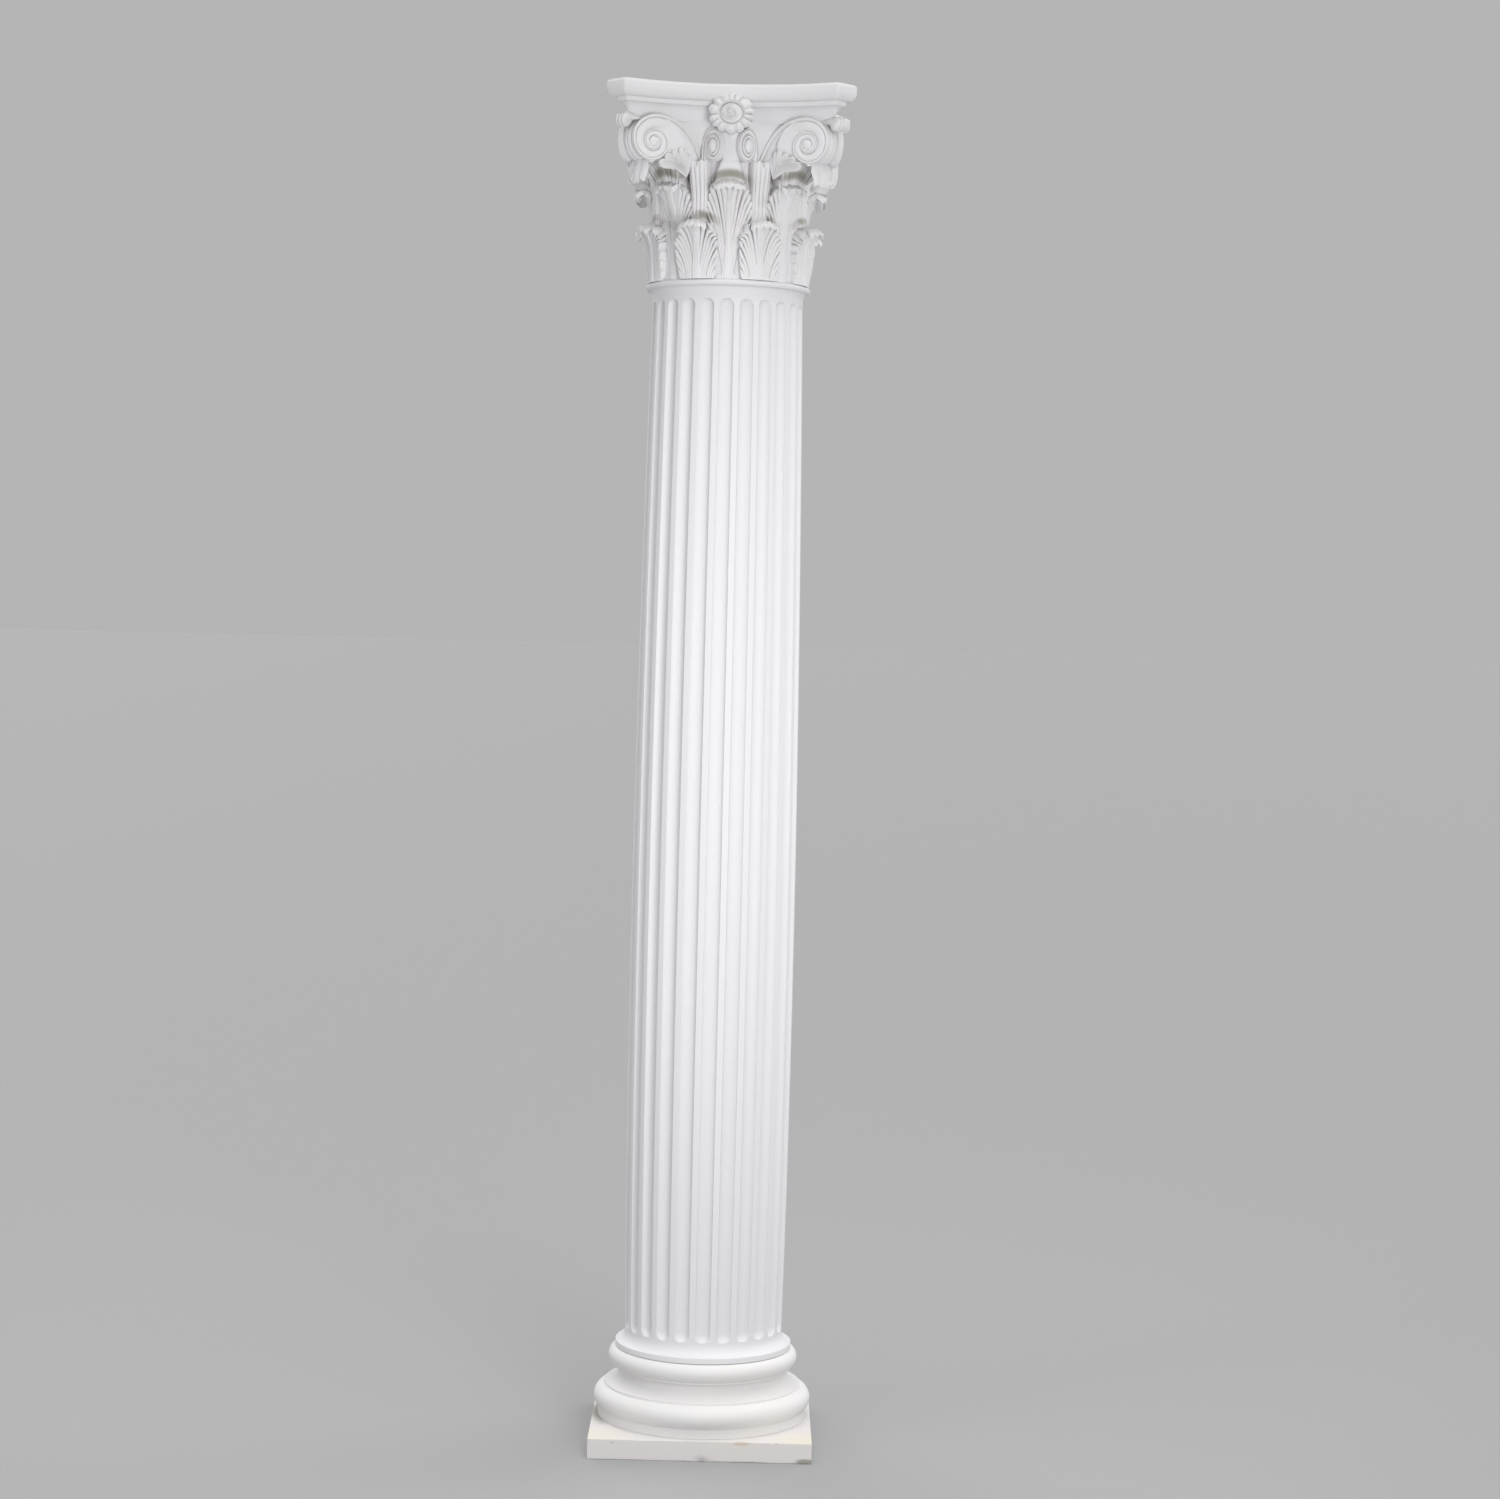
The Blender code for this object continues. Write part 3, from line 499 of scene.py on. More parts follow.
def finish_piece(obj, name, node, smooth_angle=40):
    """Shading, hollows, material and place in the frame of a finished piece."""
    apply_place(obj)
    bpy.ops.object.shade_smooth_by_angle(angle=math.radians(smooth_angle))
    obj.name = name
    obj.data.name = name
    obj.data.materials.clear()
    obj.data.materials.append(plaster_material(node))
    mark_hollows(obj)
    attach(obj, "root")
    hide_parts(node)
    return obj


# Plaster finish


# How much the patches fray a mark's edge, and where the mark starts and is full
MARK_FRAYING = 0.9
MARK_EDGE = (1.7, 0.9)


class Nodes:
    """Short way to add linked shader nodes to a material."""

    def __init__(self, material):
        self.tree = material.node_tree
        self.tree.nodes.clear()

    def add(self, kind, values=(), **settings):
        node = self.tree.nodes.new(kind)
        for key, value in settings.items():
            setattr(node, key, value)
        for socket, value in dict(values).items():
            self.feed(node.inputs[socket], value)
        return node

    def feed(self, socket, value):
        if isinstance(value, bpy.types.NodeSocket):
            self.tree.links.new(value, socket)
        else:
            socket.default_value = value

    def maths(self, operation, *values, clamp=False):
        node = self.add("ShaderNodeMath", operation=operation, use_clamp=clamp)
        for socket, value in zip(node.inputs, values):
            self.feed(socket, value)
        return node.outputs[0]

    def step(self, value, low, high):
        """Smooth step of a value from 0 at low to 1 at high."""
        node = self.add("ShaderNodeMapRange", interpolation_type="SMOOTHSTEP")
        for socket, part in zip(node.inputs, (value, low, high, 0.0, 1.0)):
            self.feed(socket, part)
        return node.outputs[0]

    def product(self, first, *others):
        for other in others:
            first = self.maths("MULTIPLY", first, other)
        return first

    def cover(self, first, second, *amounts):
        """The first colour with the second one over it, by the product of the amounts."""
        node = self.add("ShaderNodeMix", data_type="RGBA", blend_type="MIX")
        for socket, value in ((0, self.product(*amounts)), (6, first), (7, second)):
            self.feed(node.inputs[socket], value)
        return node.outputs[2]

    def mark(self, shade, place, uneven, middle, half, strength, tone):
        """Colour with a soft uneven spot of another one laid over it."""
        away = self.add("ShaderNodeVectorMath", {0: place, 1: middle}, operation="SUBTRACT")
        away = self.add("ShaderNodeVectorMath", {0: away.outputs[0], 1: half}, operation="DIVIDE")
        away = self.add("ShaderNodeVectorMath", {0: away.outputs[0]}, operation="LENGTH")
        edge = self.maths("MULTIPLY_ADD", uneven, MARK_FRAYING, away.outputs["Value"])
        return self.cover(shade, tuple(tone), self.step(edge, *MARK_EDGE), strength)

    def noise(self, vector, scale, detail, roughness):
        values = {"Vector": vector, "Scale": scale, "Detail": detail, "Roughness": roughness}
        return self.add("ShaderNodeTexNoise", values).outputs["Fac"]


PLASTER_ROUGHNESS = 0.62
ROUGHNESS_SPREAD = 0.16
PLASTER_SPECULAR = 0.35
# Scale, detail and roughness of the noises for the mottling, the dirt's patches and the grain
BROAD_NOISE = (3.2, 4.0, 0.55)
PATCH_NOISE = (16.0, 4.0, 0.6)
GRAIN_NOISE = (420.0, 3.0, 0.6)
GRAIN_HEIGHT = 0.0006
GRAIN_STRENGTH = 0.25
# Where each effect starts and is full: on the mottling, how hollow, how level, or on the patches
CREAM_EDGE = (0.42, 0.66)
YELLOWING_EDGE = (0.45, 0.75)
HOLLOW_EDGE = (0.04, 0.38)
LEVEL_EDGE = (0.35, 0.9)
# The hollows' grey dirt and painted shade, the painted shadow and olive dirt behind the leaf tips,
# and the dust and painted shade on the tops each show only on patches
HOLLOW_SHADE_AND_DIRT_PATCHES = (0.25, 0.62)
TIP_SHADE_AND_DIRT_PATCHES = (0.30, 0.55)
TOP_DUST_AND_SHADE_PATCHES = (0.3, 0.6)
# How much dust and painted shade darken the tops, and how much the olive colour covers there and
# behind the leaf tips
DUST_AND_SHADE_ON_TOPS = 0.30
DUST_AND_SHADE_COVER = 0.85
# Colour of each casting, how much dirt and painted shade darken its hollows and how much it has
# yellowed
WEATHERING_AND_HOLLOW_SHADE = {
    "plinth": ("plinth", 0.35, 0.30),
    "base_moulding": ("base", 0.40, 0.12),
    "shaft": ("shaft", 0.25, 0.05),
    "capital": ("capital", 1.0, 0.15),
}
# Marks on the plinth: middle, half sizes, strength and colour
PLINTH_MARKS = (
    ((0.074, -0.2, 0.034), (0.016, 0.006, 0.0042), 0.32, "stain"),
    ((-0.156, -0.2, 0.0305), (0.0045, 0.004, 0.0020), 0.30, "dirt_and_shade"),
    ((0.137, -0.2, 0.0355), (0.0030, 0.004, 0.0020), 0.35, "dirt_and_shade"),
    ((0.191, -0.2, 0.004), (0.020, 0.010, 0.0055), 0.75, "olive_dirt_and_shade"),
    ((-0.178, -0.010, 0.037), (0.030, 0.075, 0.006), 0.75, "olive_dirt_and_shade"),
    ((-0.186, -0.178, 0.037), (0.060, 0.050, 0.004), 0.70, "cream"),
    ((0.186, -0.178, 0.037), (0.060, 0.050, 0.004), 0.80, "cream"),
)


def plaster_material(node):
    """Matt cast plaster with mottling, hollows darkened by dirt and painted shade, painted shadow
    and olive dirt behind the capital's leaf tips, tops darkened by dust and painted shade, and a
    fine trowelled grain.
    """
    name = "cast_" + SLOT_OF_NODE[node]
    if name in bpy.data.materials:
        return bpy.data.materials[name]
    finish = bpy.context.scene.plaster_column.finish
    tone, hollow_shade_and_dirt_amount, yellowing = WEATHERING_AND_HOLLOW_SHADE[node]
    body, cream = tuple(getattr(finish, tone)), tuple(finish.cream)

    material = bpy.data.materials.new(name)
    material.use_nodes = True
    nodes = Nodes(material)
    place = nodes.add("ShaderNodeTexCoord").outputs["Object"]
    normal = nodes.add("ShaderNodeNewGeometry").outputs["Normal"]
    upward = nodes.add("ShaderNodeSeparateXYZ", {"Vector": normal}).outputs["Z"]
    hollow = nodes.add("ShaderNodeAttribute", attribute_name="hollow").outputs["Fac"]

    broad = nodes.noise(place, *BROAD_NOISE)
    patches = nodes.noise(place, *PATCH_NOISE)
    grain = nodes.noise(place, *GRAIN_NOISE)

    shade = nodes.cover(body, cream, nodes.step(broad, *CREAM_EDGE))
    shade = nodes.cover(body, shade, nodes.step(broad, *YELLOWING_EDGE), yellowing)
    # Hollows darkened with grey dirt and painted shade
    hollow_shade_and_dirt = (nodes.step(hollow, *HOLLOW_EDGE), hollow_shade_and_dirt_amount, nodes.step(patches, *HOLLOW_SHADE_AND_DIRT_PATCHES))
    shade = nodes.cover(shade, tuple(finish.dirt_and_shade), *hollow_shade_and_dirt)
    if node == "plinth":
        for middle, half, strength, tone in PLINTH_MARKS:
            shade = nodes.mark(shade, place, patches, middle, half, strength, getattr(finish, tone))
    # On the capital: painted shadow and olive dirt behind the leaf tips and at single places, and
    # dust and painted shade on the tops
    if node == "capital":
        settled = nodes.add("ShaderNodeAttribute", attribute_name="settled").outputs["Fac"]
        settled = nodes.product(settled, nodes.step(patches, *TIP_SHADE_AND_DIRT_PATCHES))
        level = nodes.step(upward, *LEVEL_EDGE)
        dust_and_shade = nodes.product(level, nodes.step(patches, *TOP_DUST_AND_SHADE_PATCHES), DUST_AND_SHADE_ON_TOPS)
        dust_and_shade = nodes.maths("MAXIMUM", settled, dust_and_shade)
        shade = nodes.cover(shade, tuple(finish.olive_dirt_and_shade), dust_and_shade, DUST_AND_SHADE_COVER)

    relief = {"Strength": GRAIN_STRENGTH, "Distance": GRAIN_HEIGHT, "Height": grain}
    relief = nodes.add("ShaderNodeBump", relief).outputs[0]
    least_rough = PLASTER_ROUGHNESS - ROUGHNESS_SPREAD / 2
    rough = nodes.maths("MULTIPLY_ADD", patches, ROUGHNESS_SPREAD, least_rough)
    shader = {"Base Color": shade, "Roughness": rough, "Normal": relief}
    shader["Specular IOR Level"] = PLASTER_SPECULAR
    shader = nodes.add("ShaderNodeBsdfPrincipled", shader)
    nodes.add("ShaderNodeOutputMaterial", {"Surface": shader.outputs[0]})
    return material


# Plinth and turned base

PLINTH_GRID = 0.010
PLINTH_EDGE_STEPS = (0.0004, 0.001, 0.0018, 0.0028, 0.004, 0.0055)
# Scale and strength of the noises that wear the edges, about this middle
WEAR_MIDDLE = 0.5
WEAR_NOISES = ((28, 0.5), (110, 0.4))


def bisect_places(low, high):
    """Places of the cuts along one side: close together by the edges, then a plain grid."""
    near = [low + step for step in PLINTH_EDGE_STEPS] + [high - step for step in PLINTH_EDGE_STEPS]
    inner = high - low - 2 * PLINTH_EDGE_STEPS[-1]
    count = max(round(inner / PLINTH_GRID), 1)
    start = low + PLINTH_EDGE_STEPS[-1]
    return near + [start + inner * step / count for step in range(1, count)]


def build_plinth(foot):
    size = PLINTH_HIGH - PLINTH_LOW
    middle = (PLINTH_HIGH + PLINTH_LOW) / 2
    deselect_all()
    bpy.ops.mesh.primitive_cube_add(size=1.0, location=middle, scale=size)
    obj = bpy.context.object
    apply_place(obj)
    edit_all()
    for axis in range(3):
        direction = [0, 0, 0]
        direction[axis] = 1
        for cut in bisect_places(PLINTH_LOW[axis], PLINTH_HIGH[axis]):
            point = [0, 0, 0]
            point[axis] = cut
            bpy.ops.mesh.select_all(action="SELECT")
            bpy.ops.mesh.bisect(plane_co=point, plane_no=direction)
    bpy.ops.object.mode_set(mode="OBJECT")

    half = size / 2
    points = []
    for vertex in obj.data.vertices:
        spot = vertex.co - middle
        wear = sum(
            (amount * noise.noise(vertex.co * scale) for scale, amount in WEAR_NOISES), WEAR_MIDDLE
        )
        rounding = foot.edge_round + foot.edge_wear * min(max(wear, 0.0), 1.0) ** 2
        core = Vector([min(max(spot[a], rounding - half[a]), half[a] - rounding) for a in range(3)])
        out = spot - core
        if out.length > 1e-7:
            spot = core + out.normalized() * min(out.length, rounding)
        points.append(chipped(spot + middle, foot))
    move_points(obj.data, points)
    return finish_piece(obj, "plinth_slab", "plinth", smooth_angle=50)


CHIP_PLACE = 0.004
CHIP_DEPTH = 0.006
CHIP_HOLLOW = 0.8


def chipped(spot, foot):
    """Pushes in the points of the chip on the plinth's front lower edge."""
    across = (spot.x - CHIP_PLACE) / (foot.chip_width / 2)
    up = (spot.z - PLINTH_LOW.z) / foot.chip_height
    inside = 1 - across**2 - up**2
    if spot.y < PLINTH_LOW.y + CHIP_DEPTH and inside > 0:
        depth = CHIP_DEPTH * math.sqrt(inside) * CHIP_HOLLOW
        spot.y = max(spot.y, PLINTH_LOW.y + depth)
    return spot


TORUS_STEPS = 22
SCOTIA_STEPS = 9
SCOTIA_LEDGE = 0.003
SCOTIA_NECK_SHARE = 0.62
BASE_SEGMENTS = 144
ARRIS_ROUND = 0.0009


def half_round(diameter, height, foot_level, seat_below, seat_above):
    """Torus profile, cut where the mouldings under and over it meet it."""
    radius = height / 2
    centre = diameter / 2 - radius
    low = -math.acos(min(max((seat_below / 2 - centre) / radius, 0.0), 1.0))
    high = math.acos(min(max((seat_above / 2 - centre) / radius, 0.0), 1.0))
    angles = np.linspace(low, high, TORUS_STEPS)
    return [
        (centre + radius * math.cos(turn), foot_level + radius + radius * math.sin(turn))
        for turn in angles
    ]


def scotia(foot_diameter, neck_diameter, top_diameter, low, high):
    """Hollow profile set in from its fillets: a wide quarter up to the neck, then a tighter one."""
    foot_radius, top_radius = foot_diameter / 2 - SCOTIA_LEDGE, top_diameter / 2 - SCOTIA_LEDGE
    neck_radius, neck = neck_diameter / 2, mixed(low, high, SCOTIA_NECK_SHARE)
    turns = np.linspace(0, QUARTER, SCOTIA_STEPS)
    sines, cosines = np.sin(turns), np.cos(turns)
    lower = zip(mixed(foot_radius, neck_radius, sines), mixed(neck, low, cosines))
    upper = zip(mixed(top_radius, neck_radius, cosines), mixed(neck, high, sines))
    return [*lower, *list(upper)[1:]]


def build_base(foot, shaft):
    torus_foot = BASE_LOW.z + foot.ring_height
    scotia_foot = torus_foot + foot.lower_torus_height + foot.lower_fillet_height
    scotia_top = scotia_foot + foot.scotia_height
    upper_foot = scotia_top + foot.upper_fillet_height
    lower_torus = (foot.lower_torus_diameter, foot.lower_torus_height, torus_foot)
    upper_torus = (foot.upper_torus_diameter, BASE_HIGH.z - upper_foot, upper_foot)
    lower_fillet, upper_fillet = foot.lower_fillet_diameter, foot.upper_fillet_diameter
    profile = [
        (foot.ring_diameter / 2, BASE_LOW.z),
        *half_round(*lower_torus, foot.ring_diameter, lower_fillet),
        (lower_fillet / 2, scotia_foot),
        *scotia(lower_fillet, foot.scotia_diameter, upper_fillet, scotia_foot, scotia_top),
        (upper_fillet / 2, scotia_top),
        *half_round(*upper_torus, upper_fillet, shaft.foot_diameter),
    ]
    obj = turned([tuple(point) for point in softened(profile, ARRIS_ROUND)], BASE_SEGMENTS)
    return finish_piece(obj, "base_mouldings", "base_moulding")


# Fluted shaft

FLUTE_POINTS = 13
FILLET_POINTS = 5
FLUTE_END_ROWS = 10
SHAFT_ROWS = 26
SWEEP_ROWS = 8
SWEEP_START = 0.15
COVE_ROWS = 7
ASTRAGAL_ROWS = 12
LOWER_SWELL = 2.6
UPPER_SWELL = 1.7
FLUTE_END_LENGTH = 0.014
ARRIS_SOFTNESS = 0.10


def shaft_places(sizes):
    """Angles round the shaft, and the place of each across its flute; 1 and more on a fillet."""
    half = math.pi / sizes.flutes * sizes.flute_share
    in_flute = np.sin(np.linspace(-QUARTER, QUARTER, FLUTE_POINTS))
    on_fillet = np.linspace(1, 2 / sizes.flute_share - 1, FILLET_POINTS + 2)[1:-1]
    places = np.concatenate([in_flute, on_fillet])
    middles = FRONT + 2 * math.pi * np.arange(sizes.flutes) / sizes.flutes
    angles = (middles[:, None] + half * places[None, :]).ravel()
    return angles, np.tile(places, sizes.flutes)


def shaft_foot(sizes):
    """Profile of the foot fillet and of the hollow sweep over it."""
    radius, level = sizes.foot_diameter / 2, SHAFT_LOW.z + sizes.foot_fillet
    turns = np.linspace(SWEEP_START, QUARTER, SWEEP_ROWS)
    radii = radius - (radius - sizes.lower_diameter / 2) * np.sin(turns)
    sweep = zip(radii, level + sizes.foot_sweep * (1 - np.cos(turns)))
    return softened([(radius, SHAFT_LOW.z), (radius, level), *sweep], ARRIS_ROUND)


def shaft_neck(sizes, neck_level):
    """Profile of the cove and of the astragal over it."""
    turns = np.linspace(0, QUARTER, COVE_ROWS)
    radii = sizes.neck_diameter / 2 + sizes.cove_reach * (1 - np.cos(turns))
    cove = zip(radii, neck_level + sizes.cove_height * np.sin(turns))
    bead = sizes.astragal_height / 2
    turns = np.linspace(-QUARTER, QUARTER, ASTRAGAL_ROWS)
    radii = sizes.astragal_diameter / 2 - bead + bead * np.cos(turns)
    astragal = zip(radii, SHAFT_HIGH.z - bead + bead * np.sin(turns))
    return softened([*cove, *astragal], ARRIS_ROUND)


def build_shaft(sizes):
    neck_level = SHAFT_HIGH.z - sizes.astragal_height - sizes.cove_height
    sweep_top = SHAFT_LOW.z + sizes.foot_fillet + sizes.foot_sweep
    widest = SHAFT_LOW.z + sizes.widest_level
    flute_foot, flute_top = SHAFT_LOW.z + sizes.flute_foot, neck_level - sizes.flute_top
    angles, places = shaft_places(sizes)

    def radius_at(level):
        """Radius of the swelling between the sweep and the neck."""
        below = (sweep_top, sizes.lower_diameter, LOWER_SWELL)
        above = (neck_level, sizes.neck_diameter, UPPER_SWELL)
        end, diameter, swell = below if level < widest else above
        part = (level - widest) / (end - widest)
        return mixed(sizes.widest_diameter, diameter, part**swell) / 2

    def ring(level, radius, end=1.0):
        """Points round the shaft; end is 0 at a flute's full depth and 1 where it runs out."""
        room = np.clip(1 - places**2 - end**2, 0, 1)
        full = math.sqrt(1 + ARRIS_SOFTNESS**2) - ARRIS_SOFTNESS
        sunk = (np.sqrt(room + ARRIS_SOFTNESS**2) - ARRIS_SOFTNESS) / full
        reach = radius - sizes.flute_depth * sunk * (end < 1)
        return grid(reach * np.cos(angles), reach * np.sin(angles), level)

    ends = 1 - np.cos(np.linspace(0, QUARTER, FLUTE_END_ROWS))
    feet, tops = flute_foot + FLUTE_END_LENGTH * ends, flute_top - FLUTE_END_LENGTH * ends[::-1]
    inner = np.linspace(feet[-1], tops[0], SHAFT_ROWS)[1:-1]
    levels = np.concatenate([feet, inner, tops])
    rounding = np.concatenate([1 - ends, 0 * inner, 1 - ends[::-1]])
    rings = [ring(level, radius) for radius, level in shaft_foot(sizes)]
    rings += [ring(level, radius_at(level), end) for level, end in zip(levels, rounding)]
    rings += [ring(level, radius) for radius, level in shaft_neck(sizes, neck_level)]
    if len(rings) % 2 == 0:
        rings.append(rings[-1] * (0.5, 0.5, 1))
    return finish_piece(skin(rings), "fluted_shaft", "shaft", smooth_angle=50)


# Bell and abacus of the capital

BELL_FOOT_DIAMETER = 0.268
BELL_WAIST_DIAMETER = 0.258
BELL_LIP_DIAMETER = 0.300
ABACUS_FOOT = 0.2735
ABACUS_FILLET_FOOT = 0.301
ABACUS_BAND_FOOT = 0.3085
ABACUS_BAND_SHOULDER = 0.325
ABACUS_BAND_INSET = 0.011
ABACUS_FILLET_INSET = 0.015
ABACUS_FOOT_INSET = 0.032
ABACUS_SIDE_STEPS = 24
ABACUS_EDGE_STEPS = 8
ABACUS_CORNER_ROUND = 0.004
ABACUS_TOP_ROUND = 0.006
BELL_HEIGHTS = (0.0, 0.70 * ABACUS_FOOT, 0.95 * ABACUS_FOOT)
BELL_RADII = (BELL_FOOT_DIAMETER / 2, BELL_WAIST_DIAMETER / 2, BELL_LIP_DIAMETER / 2)
BELL_ROWS = 48
BELL_OVERLAP = 0.003
BELL_SPREAD_FOOT = 0.185
BELL_SPREAD = 0.80


def bell_radius(height):
    return np.interp(height, BELL_HEIGHTS, BELL_RADII)


def build_bell(sizes):
    """Round bell that spreads towards the corners as it nears the abacus."""
    plan = np.array(abacus_plan(sizes, ABACUS_FOOT_INSET))
    corner_reach = np.linalg.norm(plan, axis=1)
    height = np.linspace(0, ABACUS_FOOT + BELL_OVERLAP, BELL_ROWS + 1)[:, None]
    spread = BELL_SPREAD * ease(BELL_SPREAD_FOOT, ABACUS_FOOT, height)
    plain = bell_radius(height)
    scale = mixed(plain, np.maximum(corner_reach, plain), spread) / corner_reach
    rings = grid(plan[:, 0] * scale, plan[:, 1] * scale, CAPITAL_LEVEL + height)
    return finish_piece(skin(rings), "capital_bell", "capital")


def abacus_plan(sizes, inset):
    """Plan of the abacus set in by inset: four hollow sides and four cut horns."""
    corner = sizes.horn_reach - sizes.horn_width / math.sqrt(2)
    hollow = sizes.horn_reach - sizes.side_middle
    curve = (corner**2 + hollow**2) / (2 * hollow)
    centre = sizes.side_middle + curve
    cut = sizes.horn_reach + corner - inset * math.sqrt(2)
    bend = curve + inset
    total = cut + centre
    depth = (total - math.sqrt(total**2 - 2 * (cut**2 + centre**2 - bend**2))) / 2
    half_angle = math.asin((cut - depth) / bend)
    turns = np.linspace(-half_angle, half_angle, ABACUS_SIDE_STEPS + 1)
    side = np.stack([bend * np.sin(turns), bend * np.cos(turns) - centre], 1)
    plan = []
    for quarter in range(4):
        cosine, sine = round(math.cos(quarter * QUARTER)), round(math.sin(quarter * QUARTER))
        plan += [(x * cosine - y * sine, x * sine + y * cosine) for x, y in side]
    return softened(plan, ABACUS_CORNER_ROUND, closed=True)


def build_abacus(sizes):
    """Bottom to top: a hollow, a thin fillet, and the band with its rounded edges."""
    quarter = np.linspace(0, QUARTER, ABACUS_EDGE_STEPS + 1)
    sines, cosines = np.sin(quarter), np.cos(quarter)
    insets = mixed(ABACUS_FILLET_INSET, ABACUS_FOOT_INSET, cosines)
    section = [*zip(insets, mixed(ABACUS_FOOT, ABACUS_FILLET_FOOT, sines))]
    section.append((ABACUS_FILLET_INSET, ABACUS_BAND_FOOT))
    levels = mixed(ABACUS_BAND_SHOULDER, ABACUS_BAND_FOOT, cosines)
    section += zip(ABACUS_BAND_INSET * (1 - sines), levels)
    levels = CAPITAL_HEIGHT - ABACUS_TOP_ROUND * (1 - sines)
    section += zip(ABACUS_TOP_ROUND * (1 - cosines), levels)
    section.append((ABACUS_FOOT_INSET, CAPITAL_HEIGHT))
    rings = []
    for inset, height in softened(section, ARRIS_ROUND):
        plan = abacus_plan(sizes, inset)
        rings.append([(x, y, CAPITAL_LEVEL + height) for x, y in plan])
    obj = skin(rings, foot=(0, 0, CAPITAL_LEVEL + ABACUS_FOOT), head=(0, 0, CAPITAL_HIGH.z))
    return finish_piece(obj, "abacus", "capital")


# Carved leaves

# Lean of a leaf in degrees at places along it: upright at the foot, rolled over at the tip
UPPER_LEAF_SLOPES = ((0, 1), (0.50, 3), (0.62, 18), (0.73, 38), (0.84, 58), (0.91, 95), (1, 150))
LOWER_LEAF_SLOPES = ((0, 1), (0.34, 3), (0.50, 20), (0.66, 40), (0.80, 60), (0.90, 95), (1, 150))
CORNER_LEAF_SLOPES = ((0, 10), (0.45, 34), (0.68, 88), (0.82, 158), (1, 186))
# Half width of a leaf, as a share of its widest, at places along it
UPPER_LEAF_OUTLINE = ((0, 0.60), (0.38, 0.88), (0.54, 1), (0.74, 0.98), (0.91, 0.88), (1, 0.58))
LOWER_LEAF_OUTLINE = ((0, 0.84), (0.25, 0.92), (0.62, 1), (0.78, 0.99), (0.91, 0.90), (1, 0.60))
CORNER_LEAF_OUTLINE = ((0, 0.45), (0.40, 0.78), (0.56, 1), (0.80, 0.88), (1, 0.42))

Leaf = namedtuple(
    "Leaf",
    "slopes outline foot foot_radius thickness solid lobes cup droop tip_notch top reach width",
    defaults=(None, None, None),
)
# Leaves of each row, the angle of its first one, and a leaf without the sizes that the panel sets
LEAF_ROWS = {
    "lower": (
        8,
        math.pi / 8,
        Leaf(LOWER_LEAF_SLOPES, LOWER_LEAF_OUTLINE, 0, 0.1485, 0.010, 0.72, 19, 0.008, 0.017, 0.45),
    ),
    "upper": (
        8,
        0.0,
        Leaf(UPPER_LEAF_SLOPES, UPPER_LEAF_OUTLINE, 0, 0.1385, 0.011, 0.72, 23, 0.005, 0.014, 0.45),
    ),
    "corner": (
        4,
        math.pi / 4,
        Leaf(CORNER_LEAF_SLOPES, CORNER_LEAF_OUTLINE, 0.105, 0.14, 0.0065, 0.45, 13, 0, -0.016, 0.5),
    ),
}
SPINE_STEPS = 240
EDGE_STEPS = 300
LOWEST_LOBE = 0.03
LEAF_FRONT_POINTS = 46
LEAF_BACK_POINTS = 13
# Powers that crowd the points towards the edge and the flow lines towards the midrib
POINT_CROWDING = 0.8
FOOT_GATHERING = 1.35
FLOW_BEND = 1.9
FOOT_FLOW_SHARE = 0.92
LOBE_STEPS = 8
LOBE_GROWTH = 1.12
LOBE_LEAN = 0.62
TEETH = 2
# Deeper notches part the lobes into groups: first such notch from the tip, and lobes in a group
FIRST_GROUP = 3
GROUP_LOBES = 4
GROUP_NOTCH_WIDTH = 0.45
NOTCH_DEPTH = 0.0052
NOTCH_INWARD = 0.0036
TOOTH_DEPTH = 0.0010
SHORTEST_LINE = 0.010
DEEPEST_NOTCH = 0.45
RIB_HEIGHT = 0.0044
FULL_RIB_SPACING = 0.009
FINE_RIB_HEIGHT = 0.0004
LOBE_OVERLAP = 0.0014
EYE_DEPTH = 0.0022
EYE_PLACE = 0.86
EYE_LENGTH = 0.045
MIDRIB_HEIGHT = 0.0022
MIDRIB_GROOVE_DEPTH = 0.0009
# Half width of the midrib at the foot and how much less it is at the tip, in leaf widths
MIDRIB_HALF_WIDTH = 0.095
MIDRIB_TAPER = 0.055
EDGE_ROUNDING = 0.0020
MIDRIB_GROOVE = (0.36, 0.10)
# Thinning of a leaf at its very tip, and the relief on the upper side of the tip
TIP_THINNING = 0.30
CREST_RELIEF = 0.0030
SIDE_SETBACK = 0.9
LEAF_ROOTING = 0.004
# Size away from a deeper notch, and what is added at the notch
DEPTH_AT_GROUP = (0.9, 0.9)
INWARD_AT_GROUP = (0.9, 0.8)
RIB_AT_GROUP = (0.70, 1.1)
# Least liveliness of the lobes, by the foot, and the share of a rib that is there from the foot on
LEAST_LIVELY = 0.2
RIB_FOOT_SHARE = 0.55
RIB_LIMITS = (0.55, 1.1)
# Where each form comes in, across the leaf, along it or along a flow line
SIDE_RANGE = (0.08, 0.32)
LIVELY_RANGE = (0.30, 0.80)
INWARD_RANGE = (0.55, 1.0)
CUP_RANGES = ((0.0, 0.35), (0.70, 0.92))
DROOP_RANGE = (0.50, 0.88)
RIB_RANGES = ((0.0, 0.12), (0.30, 0.80))
TEETH_RANGE = (0.35, 0.8)
OVERLAP_RANGE = (0.55, 0.9)
MIDRIB_SIDE = (0.55, 1.1)
MIDRIB_END = (0.78, 0.95)
BESIDE_MIDRIB = (0.75, 1.25)
PAST_MIDRIB = (0.82, 0.95)
GROOVE_END = (0.85, 0.95)
TIP_RANGE = (0.85, 1.0)
CREST_RANGE = (0.78, 0.90)
FREE_LENGTH = 0.14


